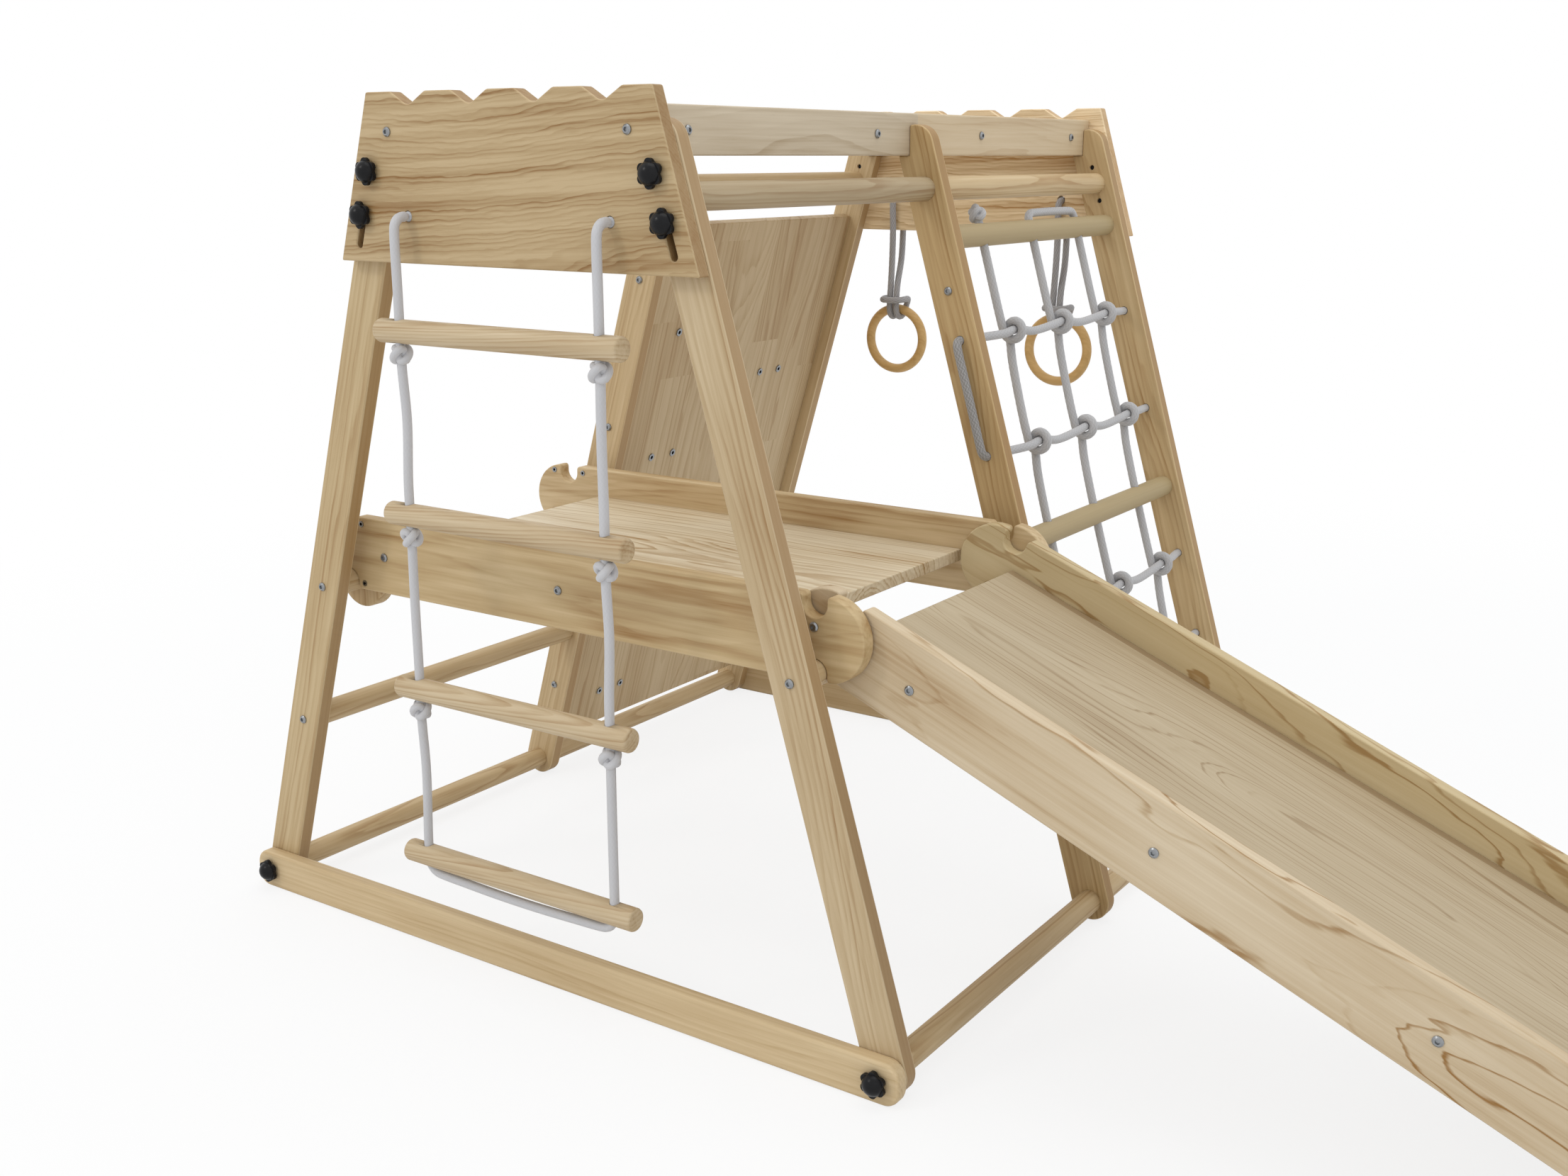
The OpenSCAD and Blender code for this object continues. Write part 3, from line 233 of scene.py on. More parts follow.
class Signal:
    def __init__(self, finish, socket):
        self.finish = finish
        self.socket = socket

    def maths(self, operation, *others, flip=False):
        terms = [self, *others]
        if flip:
            terms.reverse()
        made = self.finish.node("ShaderNodeMath", {"operation": operation}, dict(enumerate(terms)))
        return Signal(self.finish, made.outputs[0])

    def __add__(self, other):
        return self.maths("ADD", other)

    def __radd__(self, other):
        return self.maths("ADD", other, flip=True)

    def __sub__(self, other):
        return self.maths("SUBTRACT", other)

    def __rsub__(self, other):
        return self.maths("SUBTRACT", other, flip=True)

    def __mul__(self, other):
        return self.maths("MULTIPLY", other)

    def __rmul__(self, other):
        return self.maths("MULTIPLY", other, flip=True)

    def __truediv__(self, other):
        return self.maths("DIVIDE", other)

    def fract(self):
        return self.maths("FRACT")

    def floor(self):
        return self.maths("FLOOR")

    def sine(self):
        return self.maths("SINE")

    def root(self):
        return self.maths("SQRT")

    def most(self, other):
        return self.maths("MAXIMUM", other)


class Finish:
    def __init__(self, name):
        self.material = bpy.data.materials.new(name)
        self.material.use_nodes = True
        self.tree = self.material.node_tree
        self.tree.nodes.clear()
        self.shader = self.node("ShaderNodeBsdfPrincipled")
        end = self.node("ShaderNodeOutputMaterial")
        self.tree.links.new(self.shader.outputs[0], end.inputs[0])

    def node(self, kind, settings=None, sockets=None):
        made = self.tree.nodes.new(kind)
        for key, value in (settings or {}).items():
            if key == "stops":
                while len(made.color_ramp.elements) < len(value):
                    made.color_ramp.elements.new(0.5)
                for stop, (place, colour) in zip(made.color_ramp.elements, value):
                    stop.position = place
                    stop.color = (*colour, 1.0)
            else:
                setattr(made, key, value)
        for key, value in (sockets or {}).items():
            if isinstance(value, Signal):
                self.tree.links.new(value.socket, made.inputs[key])
            else:
                made.inputs[key].default_value = value
        return made

    def out(self, made, key=0):
        return Signal(self, made.outputs[key])

    def set(self, **values):
        for key, value in values.items():
            name = key.replace("_", " ")
            if isinstance(value, Signal):
                self.tree.links.new(value.socket, self.shader.inputs[name])
            else:
                self.shader.inputs[name].default_value = value

    def place(self, tilt=0.0, centre=(0.0, 0.0, 0.0)):
        # object coordinates from a centre, turned about y so that the grain lies on an axis
        turn = math.radians(tilt)
        shift = (-centre[0] * math.cos(turn) - centre[2] * math.sin(turn), -centre[1],
                 centre[0] * math.sin(turn) - centre[2] * math.cos(turn))
        coords = self.node("ShaderNodeTexCoord")
        turned = self.node("ShaderNodeMapping", {"vector_type": "POINT"},
                           {"Vector": self.out(coords, "Object"), "Rotation": (0, turn, 0), "Location": shift})
        parts = self.node("ShaderNodeSeparateXYZ", None, {0: self.out(turned)})
        return [self.out(parts, i) for i in range(3)]

    def wrap(self):
        coords = self.node("ShaderNodeTexCoord")
        parts = self.node("ShaderNodeSeparateXYZ", None, {0: self.out(coords, "UV")})
        return [self.out(parts, i) for i in range(2)]

    def vector(self, x, y, z):
        return self.out(self.node("ShaderNodeCombineXYZ", None, {0: x, 1: y, 2: z}))

    def noise(self, vector, scale=1.0, detail=2.0, rough=0.5):
        made = self.node("ShaderNodeTexNoise", {"noise_dimensions": "3D"},
                         {"Vector": vector, "Scale": scale, "Detail": detail, "Roughness": rough})
        return self.out(made, 0)

    def dice(self, value):
        made = self.node("ShaderNodeTexWhiteNoise", {"noise_dimensions": "1D"}, {"W": value})
        return self.out(made, "Value")

    def ramp(self, value, stops):
        return self.out(self.node("ShaderNodeValToRGB", {"stops": stops}, {"Fac": value}))

    def mix(self, factor, first, second):
        # a plain colour may be given in place of a socket
        first, second = (v if isinstance(v, Signal) else (*v, 1.0) for v in (first, second))
        made = self.node("ShaderNodeMix", {"data_type": "RGBA"}, {0: factor, 6: first, 7: second})
        return self.out(made, 2)

    def span(self, value, low, high, newLow=0.0, newHigh=1.0):
        made = self.node("ShaderNodeMapRange", {"interpolation_type": "SMOOTHSTEP"},
                         {"Value": value, 1: low, 2: high, 3: newLow, 4: newHigh})
        return self.out(made)

    def bump(self, height, strength, distance):
        made = self.node("ShaderNodeBump", None, {"Strength": strength, "Distance": distance, "Height": height})
        self.set(Normal=self.out(made))


# clear-finished pine: growth rings round a pith that drifts along the board, fine fibres and short pores

toneKeys = ("pale", "mid", "brown")


def spreadTones(look, contrast, darkest=0.012):
    # the same middle tone with its light and dark further apart
    return {key: tuple(max(darkest, m + (c - m) * contrast) for c, m in zip(look[key], look["mid"]))
            for key in toneKeys}


# a plain board, whose settings a wood below may replace, and the sizes of the noises, per metre
plainWood = {
    "contrast": 1.4, "tilt": 0.0, "drift": 1.5, "waves": 9.0, "deep": 0.14, "side": 0.08, "bow": 0.05, "ring": 0.006,
    "ripple": 1.0, "thin": 0.25, "flow": 1.6, "late": 0.40, "fibre": 0.60, "streak": 0.55, "blotch": 0.75, "base": 0.36,
    "rough": 0.46, "relief": 0.12,
}
grain = {
    "bow": 5.0, "wave": 60.0, "uneven": (55.0, 0.35), "unevenRings": 3.0, "burl": (5.0, 17.0), "fibre": (4.0, 230.0),
    "streak": 60.0, "pores": (24.0, 560.0), "poreTone": 0.08, "blotch": (3.0, 11.0), "midStop": 0.45, "sheen": 0.35,
    "roughSpread": 0.16, "reliefDepth": 0.0005,
}
# joints between staves, in metres or as a share; rim sets the strength of the painted shadow strip along a deck's edge,
# and eased that of the painted highlight on eased edges
joint = {"offset": 0.37, "shift": 5.0, "lift": 0.05, "sharp": 0.0006, "glue": 0.22, "rim": 0.95, "eased": 0.6}


def pineFinish(name, look, centre=(0.0, 0.0, 0.0), seed=0.0):
    f = Finish(name)
    look = {**plainWood, **look}
    # the plain brown, used for the painted shade on narrow faces, the painted shadow strip and the dark glue lines
    shadeAndGlueBrown = look["brown"]
    look.update(spreadTones(look, look["contrast"]))
    axes = f.place(look["tilt"], centre)
    a, b, c = (axes[i] for i in {"x": (0, 1, 2), "y": (1, 0, 2), "z": (2, 1, 0)}[look["along"]])
    across, deep = (b, c) if look.get("flat") else (c, b)
    lengthwise = a
    a = a + seed * 3.7
    if look.get("stave"):
        # glued staves: each is its own cut, so its rings and tone jump at the joint
        row = (across / look["stave"] + joint["offset"]).floor()
        jump = f.dice(row + seed * 5.0)
        if look.get("block"):
            block = (a / look["block"] + jump * 7.3).floor()
            jump = f.dice(row * 13.7 + block * 3.1)
        a = a + jump * joint["shift"]
        deep = deep + jump * joint["lift"]

    def figure(stretch, size, offset=0.0, **settings):
        # noise drawn out along the grain
        return f.noise(f.vector(a * stretch, across * size, deep * size + offset), **settings)

    bow = f.noise(f.vector(a * look["drift"], across * grain["bow"], seed), detail=1.0)
    wave = figure(look["waves"], grain["wave"], seed)
    inward = deep + look["deep"] + (bow - 0.5) * look["bow"]
    aside = across + look["side"] + (bow - 0.5) * look["bow"] * 0.7
    dist = (inward * inward + aside * aside).root()
    uneven = f.noise(f.vector(dist * grain["uneven"][0], a * grain["uneven"][1], seed), detail=1.0)
    turns = dist / look["ring"] + (uneven - 0.5) * grain["unevenRings"] + (wave - 0.5) * look["ripple"]
    if look.get("burl"):
        turns = turns + figure(*grain["burl"], seed, detail=1.5) * look["burl"]
    # late wood darkens slowly through a ring and ends at once, and each ring has its own depth
    saw = turns.fract()
    late = f.span(saw, look["thin"], 0.90) * (1 - f.span(saw, 0.92, 1.0)) * (f.dice(turns.floor()) * 0.8 + 0.2)
    fibre = figure(*grain["fibre"], detail=3.0, rough=0.6)
    streak = figure(look["flow"], grain["streak"], seed)
    pores = f.span(figure(*grain["pores"], detail=1.0), 0.66, 0.78)
    blotch = figure(*grain["blotch"], seed)
    amount = late * look["late"] + (fibre - 0.5) * look["fibre"] + pores * grain["poreTone"]
    amount = amount + (streak - 0.5) * look["streak"] + (blotch - 0.5) * look["blotch"] + look["base"]
    if look.get("stave"):
        amount = amount + (jump - 0.5) * look["staveTone"]

    def toned(wood):
        return f.ramp(amount, list(zip((0.0, grain["midStop"], 1.0), (wood[key] for key in toneKeys))))

    colour = toned(look)
    if look.get("splice"):
        # a finger joint: the board goes on in another piece of wood
        colour = f.mix(f.span(lengthwise, look["splice"], look["splice"] + joint["sharp"]), colour, toned(look["far"]))
    if look.get("thick"):
        # painted shade and painted highlight: the narrow faces are darkened towards the plain brown, and the eased edge
        # beside them is painted pale
        depth, half = (b * b).root(), look["thick"] / 2
        narrow = 1 - f.span(depth, half - 0.0030, half - 0.0018)
        eased = (1 - narrow) * (1 - f.span(depth, half - 0.0012, half - 0.0002))
        colour = f.mix(narrow * look["narrow"], colour, shadeAndGlueBrown)
        colour = f.mix(eased * joint["eased"], colour, look["pale"])
    if look.get("rim"):
        # painted shadow: a narrow darker strip along the deck's far edge, where the far board's shadow falls on the
        # deck
        colour = f.mix(f.span(across, look["rim"], look["rim"] + joint["sharp"]) * joint["rim"], colour, shadeAndGlueBrown)
    if look.get("stave"):
        # a hair of dark glue at each joint
        edge = (across / look["stave"] + joint["offset"]).fract() - 0.5
        colour = f.mix(f.span(edge * edge, 0.2450, 0.2495) * joint["glue"], colour, shadeAndGlueBrown)
    f.set(Base_Color=colour, Roughness=fibre * grain["roughSpread"] + look["rough"], Specular_IOR_Level=grain["sheen"])
    f.bump(fibre * 0.4 + late * 0.6, look["relief"], grain["reliefDepth"])
    return f.material


tones = {
    "straw": {"pale": (0.625, 0.480, 0.284), "mid": (0.538, 0.394, 0.215), "brown": (0.390, 0.242, 0.106)},
    "tan": {"pale": (0.580, 0.448, 0.272), "mid": (0.500, 0.368, 0.206), "brown": (0.370, 0.235, 0.108)},
    "cream": {"pale": (0.660, 0.540, 0.372), "mid": (0.590, 0.462, 0.296), "brown": (0.440, 0.300, 0.160)},
    "sand": {"pale": (0.590, 0.482, 0.330), "mid": (0.522, 0.412, 0.268), "brown": (0.365, 0.256, 0.142)},
    "ash": {"pale": (0.600, 0.505, 0.370), "mid": (0.530, 0.436, 0.308), "brown": (0.420, 0.325, 0.208)},
    "olive": {"pale": (0.520, 0.420, 0.250), "mid": (0.468, 0.372, 0.210), "brown": (0.390, 0.298, 0.152)},
    "honey": {"pale": (0.720, 0.490, 0.215), "mid": (0.620, 0.400, 0.155), "brown": (0.480, 0.285, 0.098)},
}

# narrow sets the painted shade on the narrow faces of legs and panels
legWood = {"along": "z", "thick": 0.024, "narrow": 0.8, "fibre": 0.75, "base": 0.33, **tones["straw"]}
slideWood = {"along": "x", "tilt": -build["slideTilt"], "deep": 0.05, "side": 0.02, "bow": 0.16, **tones["cream"]}
woods = {
    "legRight": {**legWood, "tilt": legLean, "late": 0.46},
    "legLeft": {**legWood, "tilt": -legLean, "side": -0.09},
    "panel": {"along": "x", "tilt": 3.0, "thick": 0.022, "narrow": 0.75, "contrast": 1.5, "deep": 0.12, "side": 0.14,
              "ring": 0.0046, "bow": 0.08, "waves": 22.0, "ripple": 1.5, "thin": 0.30, "late": 0.52, "fibre": 0.95,
              "streak": 1.6, "flow": 0.9, "blotch": 1.0, "base": 0.31, "relief": 0.30, **tones["straw"]},
    "baseRail": {"along": "x", "late": 0.24, "bow": 0.02, **tones["straw"]},
    "side": {"along": "x", "deep": 0.06, "side": 0.05, "ring": 0.013, "bow": 0.10, "late": 0.22, "blotch": 0.9,
             "streak": 1.3, "flow": 5.0, **tones["straw"]},
    "keeper": {"along": "z", "ring": 0.005, "late": 0.45, **tones["straw"]},
    "rung": {"along": "x", "tilt": 4.0, "deep": 0.05, "side": 0.04, "ring": 0.005, "late": 0.36, **tones["straw"]},
    "bar": {"along": "y", "deep": 0.06, "side": 0.05, "ring": 0.005, "late": 0.36, **tones["straw"]},
    "topRail": {"along": "y", "contrast": 1.8, "ring": 0.008, "late": 0.28, "splice": 0.012, "far": tones["cream"],
                **tones["ash"]},
    "wall": {"along": "z", "tilt": -legLean, "contrast": 1.0, "flat": True, "stave": 0.086, "block": 0.52,
             "staveTone": 0.36, "deep": 0.05, "side": 0.02, "ring": 0.009, "bow": 0.12, "late": 0.5, **tones["tan"]},
    "deck": {"along": "x", "contrast": 1.7, "flat": True, "stave": 0.094, "staveTone": 0.14, "deep": 0.05, "side": 0.02,
             "ring": 0.010, "bow": 0.10, "late": 0.52, "fibre": 0.8, "blotch": 0.8, "base": 0.32, **tones["cream"]},
    # rim is where the painted shadow of the far board starts across the slide deck
    "slideDeck": {**slideWood, "contrast": 1.6, "flat": True, "deep": 0.035, "ring": 0.008, "bow": 0.18, "drift": 1.3,
                  "waves": 4.0, "ripple": 0.8, "thin": 0.70, "late": 0.46, "fibre": 0.5, "blotch": 0.6, "rim": 0.1945,
                  **tones["sand"]},
    "slideSide": {**slideWood, "contrast": 1.9, "ring": 0.018, "thin": 0.74, "late": 0.62, "blotch": 0.9, "streak": 0.6,
                  "burl": 2.2, "base": 0.34},
    "slideFar": {**slideWood, "ring": 0.014, "thin": 0.72, "late": 0.75, "fibre": 0.5, "blotch": 0.8, "streak": 0.4,
                 "burl": 3.0},
    "oliveBar": {"along": "y", "contrast": 1.0, "late": 0.10, "fibre": 0.2, "blotch": 0.2, "streak": 0.2, "rough": 0.5,
                 **tones["olive"]},
    "ring": {"along": "x", "contrast": 1.0, "late": 0.3, "rough": 0.34, **tones["honey"]},
    "hold": {"along": "y", "contrast": 1.0, "late": 0.4, "ring": 0.007, "rough": 0.42, **tones["honey"]},
}
finishes = {}

# how much lighter or darker than its kind a board is; the back panel's lift is painted light, as its inner face lies in
# shade, and the right front hand bar's drop is painted shadow
boardToneAndLight = {
    "end_panel_front": (0.78, 0.745, 0.69), "end_panel_back": (1.26, 1.28, 1.36), "leg_front_left": (0.92, 0.92, 0.90),
    "leg_front_right": (0.90, 0.91, 0.95), "leg_middle_right": (0.86, 0.80, 0.68), "leg_back_right": (0.90, 0.86, 0.78),
    "platform_deck": (1.02, 1.06, 1.10), "platform_side_front": (0.92, 0.90, 0.84), "slide_deck": (0.84, 0.84, 0.82),
    "slide_side_front": (0.94, 0.93, 0.92), "slide_side_back": (0.90, 0.89, 0.76), "net_bars": (0.84, 0.81, 0.76),
    "hand_bar_right_front": (0.72, 0.74, 0.79), "base_rail_front": (1.05, 1.06, 1.08), "ring_left": (0.95, 0.93, 0.92),
    "ring_right": (0.95, 0.93, 0.92), "ladder_rungs": (0.98, 1.03, 1.16), "climbing_wall": (1.05, 1.07, 1.11),
}


def woodFor(node, wood):
    # each board is its own cut: the rings lie about its own middle
    low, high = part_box(node)
    shade = boardToneAndLight.get(node, (1.0, 1.0, 1.0))
    shaded = {key: tuple(c * m for c, m in zip(woods[wood][key], shade)) for key in toneKeys}
    seed = sum(ord(letter) * (i + 3) for i, letter in enumerate(node)) % 97 / 9.7
    return pineFinish(camel(node) + "Wood", {**woods[wood], **shaded}, tuple((low + high) / 2), seed)


# braided cord: strands cross over and under along the rope's own map

fibres = {"yarn": 9.0, "grime": 14.0, "dirt": 0.22, "fade": 0.012, "relief": 0.35, "depth": 0.0006}


def cordFinish(name, look):
    f = Finish(name)
    u, v = f.wrap()
    a = v * braid["strands"] + u
    b = v * braid["strands"] - u
    over = ((a.floor() + b.floor()) * 0.5).fract() * 2.0
    rising = (a.fract() * math.pi).sine()
    falling = (b.fract() * math.pi).sine()
    height = rising * (1 - over) + falling * over
    yarn = f.noise(f.vector(a * fibres["yarn"], b * fibres["yarn"], 0.0), detail=1.0)
    axes = f.place()
    grime = f.noise(f.vector(*axes), scale=fibres["grime"])
    # painted shade: the colour falls to the gap tone in the dips between strands
    shade = (f.span(height, 0.0, 0.75) * 0.75 + yarn * 0.25) * look["weave"] + (1 - look["weave"])
    colour = f.mix(shade, look["gap"], look["yarn"])
    colour = f.mix(grime * fibres["dirt"], colour, look["gap"])
    if look.get("worn"):
        # painted shade: the turn round the outside of the leg is darkened, most in the braid's dips
        worn = (1 - f.span(axes[1], look["worn"], look["worn"] + fibres["fade"])) * (height * -0.45 + 0.85)
        colour = f.mix(worn, colour, look["soil"])
    f.set(Base_Color=colour, Roughness=0.82, Sheen_Weight=0.25, Sheen_Roughness=0.5)
    f.bump(height * 0.7 + yarn * 0.3, fibres["relief"] * look["weave"], fibres["depth"])
    return f.material


# gap is the painted shade tone in the braid's dips, and grime also darkens towards it
cords = {
    "whiteCord": {"yarn": (0.560, 0.555, 0.565), "gap": (0.400, 0.395, 0.408), "weave": 0.22},
    # the net cord's turn round the leg, in front of the given y, gets painted shade
    "netCord": {"yarn": (0.500, 0.493, 0.496), "gap": (0.215, 0.210, 0.211), "weave": 0.5, "worn": 0.602,
                "soil": (0.150, 0.140, 0.125)},
    "greyCord": {"yarn": (0.430, 0.420, 0.425), "gap": (0.185, 0.180, 0.182), "weave": 1.0},
}
finishes.update({name: cordFinish(name, look) for name, look in cords.items()})

# plated fasteners and moulded knobs
zinc = {"spots": 320.0, "dull": (0.24, 0.25, 0.26), "bright": (0.36, 0.37, 0.38), "rough": 0.24, "roughSpread": 0.20}
moulding = {"spots": 900.0, "dull": (0.006, 0.006, 0.007), "bright": (0.011, 0.011, 0.012), "rough": 0.25,
            "roughSpread": 0.10, "sheen": 0.17, "relief": 0.05, "depth": 0.0003}


def zincFinish(name, look):
    f = Finish(name)
    stain = f.noise(f.vector(*f.place()), scale=look["spots"])
    f.set(Base_Color=f.mix(stain, look["dull"], look["bright"]), Metallic=1.0,
          Roughness=stain * look["roughSpread"] + look["rough"])
    return f.material


def knobFinish(name, look):
    f = Finish(name)
    skin = f.noise(f.vector(*f.place()), scale=look["spots"], detail=1.0)
    f.set(Base_Color=f.mix(skin, look["dull"], look["bright"]), Roughness=skin * look["roughSpread"] + look["rough"],
          Specular_IOR_Level=look["sheen"])
    f.bump(skin, look["relief"], look["depth"])
    return f.material


finishes["zincPlate"] = zincFinish("zincPlate", zinc)
finishes["satinBlack"] = knobFinish("satinBlack", moulding)
print("finishes mixed:", len(finishes))


# ladder: one rope from hole to hole, under the last rung

ladder = {"radius": 6.5, "out": 25.0, "rungs": (159.0, 405.0, 651.0, 897.0), "rungR": 16.0, "bend": 16.2, "turn": 22.0,
          "mouth": 0.3, "under": 2.0, "sag": 4.0, "straight": 45.0, "bends": (2.6, -2.2, 1.8), "bendDrop": 118.0,
          "bendBack": 1.5, "knotR": 5.4, "knotH": 27.0, "knotGap": 0.5, "knotReach": 7.6, "knotRise": 8.0, "step": 3.0,
          "knotStep": 2.0, "tail": 34.0, "stopper": 14.5}


def quarter(corner, start, end, radius, steps=4):
    # a quarter bend about a corner, from one straight run to another
    points = []
    for i in range(steps + 1):
        t = math.radians(90 * i / steps)
        points.append(tuple(k + radius * ((1 - math.sin(t)) * s + (1 - math.cos(t)) * e)
                            for k, s, e in zip(corner, start, end)))
    return points


def ladderFoot():
    # the rope's height under the last rung
    return ladder["rungs"][0] - ladder["rungR"] - ladder["radius"] - ladder["under"]


def ladderSide(side):
    x, top = side * build["holeX"], build["holeZ"]
    y = build["panelFront"] - ladder["out"]
    mouth = build["panelFront"] - ladder["radius"] - ladder["mouth"]
    points = [(x, mouth, top)] + quarter((x, y, top), (0, 1, 0), (0, 0, -1), ladder["bend"])
    for i, z in enumerate(reversed(ladder["rungs"][1:])):
        aside = ladder["bends"][i] * (1 if side < 0 else -0.8)
        points += [(x, y, z + ladder["straight"]), (x, y, z), (x, y, z - ladder["straight"]),
                   (x + aside, y + ladder["bendBack"], z - ladder["bendDrop"])]
    points.append((x, y, ladder["rungs"][0] + ladder["rungR"] + 8))
    return points + quarter((x, y, ladderFoot()), (0, 0, 1), (-side, 0, 0), ladder["turn"])


def knotRoute(centre, radius, height, turn, count=48, swell=0.42):
    # a tight overhand knot drawn up round the rope
    points = []
    for i in range(count):
        t = 2 * math.pi * i / count
        reach = radius * (1.0 + swell * math.cos(3 * t))
        points.append((centre[0] + reach * math.cos(2 * t + turn), centre[1] + reach * math.sin(2 * t + turn),
                       centre[2] + height * math.sin(3 * t)))
    return points


def tieKnot(name, bow, body, owned):
    walk = smoothRoute(bow, ladder["knotStep"], closed=True)
    mesh = ropeMesh(name, walk, ladder["knotR"], plainBraid, closed=True)
    return addPiece(name, mesh, body, finishes["whiteCord"], owned)


def makeLadder():
    y = build["panelFront"] - ladder["out"]
    sag = [(x, y, ladderFoot() - ladder["sag"] * math.cos(math.radians(x * 0.6))) for x in range(-100, 101, 50)]
    route = smoothRoute(ladderSide(-1) + sag + ladderSide(1)[::-1], ladder["step"])
    rope = addPiece("ladderRope", ropeMesh("ladderRope", route, ladder["radius"], plainBraid), "ladder",
                    finishes["whiteCord"], ["ladder_rope"])
    knots = []
    for side in (-1, 1):
        for i, z in enumerate(ladder["rungs"][1:]):
            low = z - ladder["rungR"] - ladder["knotH"] / 2 - ladder["knotGap"]
            seat, turn = (side * build["holeX"], y, low), 0.9 + 1.3 * i + side
            bow = knotRoute(seat, ladder["knotReach"], ladder["knotRise"], turn)
            name = "ladderKnot%d%s" % (i + 1, "L" if side < 0 else "R")
            knots.append(tieKnot(name, bow, "ladder", [] if knots else ["ladder_knots"]))
    round(routeLength(route), 3)
    for side, word in ((-1, "Left"), (1, "Right")):
        x, z = side * build["holeX"], build["holeZ"]
        back = build["panelFront"] + build["panelT"]
        tail = [(x, build["panelFront"] + 0.2, z), (x, 0, z), (x, back, z), (x, back + ladder["tail"], z - 1)]
        stub = smoothRoute(tail, ladder["step"])
        name = "ladderRopeEnd" + word
        addPiece(name, ropeMesh(name, stub, ladder["radius"], plainBraid, domed=(False, True)), "frame",
                 finishes["whiteCord"], ["ladder_rope_ends"] if side < 0 else [])
        bow = knotRoute((x, z, back + ladder["stopper"]), ladder["knotReach"], ladder["knotRise"], side)
        tieKnot("ladderStopper" + word, [(p[0], p[2], p[1]) for p in bow], "frame", [])


makeLadder()
print("ladder hung")

# rings: each loop straddles the back panel and is drawn round its ring with a lark's head

ring = {"radius": 6.0, "y": 1242.0, "z": 777.0, "ringR": 57.5, "ringT": 8.5, "out": 21.0, "corner": 12.0, "step": 2.5,
        "clear": 0.5, "bear": 1.2, "low": 983.0, "braidIn": 0.15}


def makeRingRope(side, word):
    x = side * build["holeX"]
    wrap = ring["ringT"] + ring["radius"] + ring["clear"]
    top = ring["z"] + ring["ringR"]
    bear, low = build["holeZ"] - ring["bear"], ring["low"]
    # one half of the hitch about the ring's top: down inside, under, up outside and across the inside
    half = [(-7.0, -wrap, 14), (-7.0, -wrap, 0), (-7.2, -wrap * 0.71, -wrap * 0.71), (-7.5, 0, -wrap),
            (-8.5, wrap * 0.71, -wrap * 0.71), (-11, wrap, 2), (-16, wrap * 0.86, 14), (-21, wrap * 0.3, 19),
            (-22, -wrap * 0.6, 19), (-17, -wrap * 1.6, 18), (-8, -wrap - 13, 18)]
    bight = half + [(0, -wrap - 13.6, 18)] + [(-p[0], p[1], p[2]) for p in half[::-1]]
    hitch = [(x + p[0], ring["y"] + p[1], top + p[2]) for p in bight]
    inner, outer = ring["y"] - ring["out"], ring["y"] + ring["out"]
    rise = [(x, inner + 2, low + 4), (x - 2, inner + 4, top + 95), (x - 5.6, ring["y"] - 14.5, top + 45)]
    fall = [(x + 5.6, ring["y"] - 9, top + 45), (x + 2, outer - 10, top + 95), (x, outer - 2, low + 4)]
    start = quarter((x, inner, bear), (0, 1, 0), (0, 0, -1), ring["corner"])
    end = quarter((x, outer, bear), (0, 0, -1), (0, -1, 0), ring["corner"])
    points = [(x, ring["y"] - 3, bear)] + start + rise + hitch + fall + end + [(x, ring["y"] + 3, bear)]
    route = smoothRoute(points, ring["step"])
    name = "ringRope" + word
    mesh = ropeMesh(name, route, ring["radius"] - ring["braidIn"], braid, domed=(False, False))
    rope = addPiece(name, mesh, "ring_%s_body" % word.lower(), finishes["greyCord"],
                    ["ring_rope_" + word.lower()])
    round(routeLength(route), 3)
    return routeLength(route)


ringRopes = [makeRingRope(-1, "Left"), makeRingRope(1, "Right")]
print("ring ropes tied, metres each:", [round(v, 3) for v in ringRopes])

# net: rows through the legs; each upright takes a turn round every row

net = {"radius": 6.75, "rows": (857.0, 690.0, 438.0, 297.0), "uprights": (750.0, 920.0, 1090.0), "out": 14.1,
       "turn": 12.0, "step": 2.5, "sag": 6.0, "braidIn": 0.15, "hitchSteps": 12, "tail": 34.0, "overBar": 4.0,
       "topEnd": 24.0, "stopper": 14.0, "stopperR": 5.0, "stopperReach": 6.8, "stopperRise": 6.6, "stopperStep": 2.0}


def rowPoints(z, back):
    s = along(z)
    first, last = build["midY"] + build["legT"], build["backY"]
    points = [(0, build["midY"] + 4, s), (0, first + 8, s)]
    for y in net["uprights"]:
        points += [(net["out"], y - 26, s - net["sag"] * 0.4), (net["out"], y, s), (net["out"], y + 18, s + 1.0),
                   (net["out"] * 0.9, y + 70, s - net["sag"])]
    points = points[:-1]
    points += [(net["out"] * 0.8, last - 60, s), (0, last - 6, s), (0, build["rearY"] - 4, s)]
    return points[::-1] if back else points


def turnPoints(z0, z1, y, way):
    s0, s1 = along(z0), along(z1)
    return (quarter((0, y, s0), (0, -way, 0), (0, 0, -1), net["turn"]) + [(0, y, (s0 + s1) / 2)]
            + quarter((0, y, s1), (0, 0, 1), (0, -way, 0), net["turn"]))


def uprightPoints(y, top):
    # down the net: behind each row, once round it, and on
    points = [(0, y, top), (0, y, along(build["netBarHigh"]))]
    r = net["out"] - 0.1
    for z in net["rows"]:
        s = along(z)
        if z < build["netBarLow"] < points[-1][2] * math.cos(build["lean"]) + build["footR"]:
            points.append((0, y, along(build["netBarLow"])))
        points += [(0, y - 1, s + 36), (0, y - 0.5, s + 12)]
        for i in range(net["hitchSteps"] + 1):
            t = math.radians(180 + 360 * i / net["hitchSteps"])
            points.append((net["out"] + r * math.cos(t), y + net["out"] * i / net["hitchSteps"], s + r * math.sin(t)))
        points += [(0, y + net["out"], s - 13), (0, y + 6, s - 46)]
    return points[:-1] + [(0, y + 11, along(net["rows"][-1]) - net["tail"])]


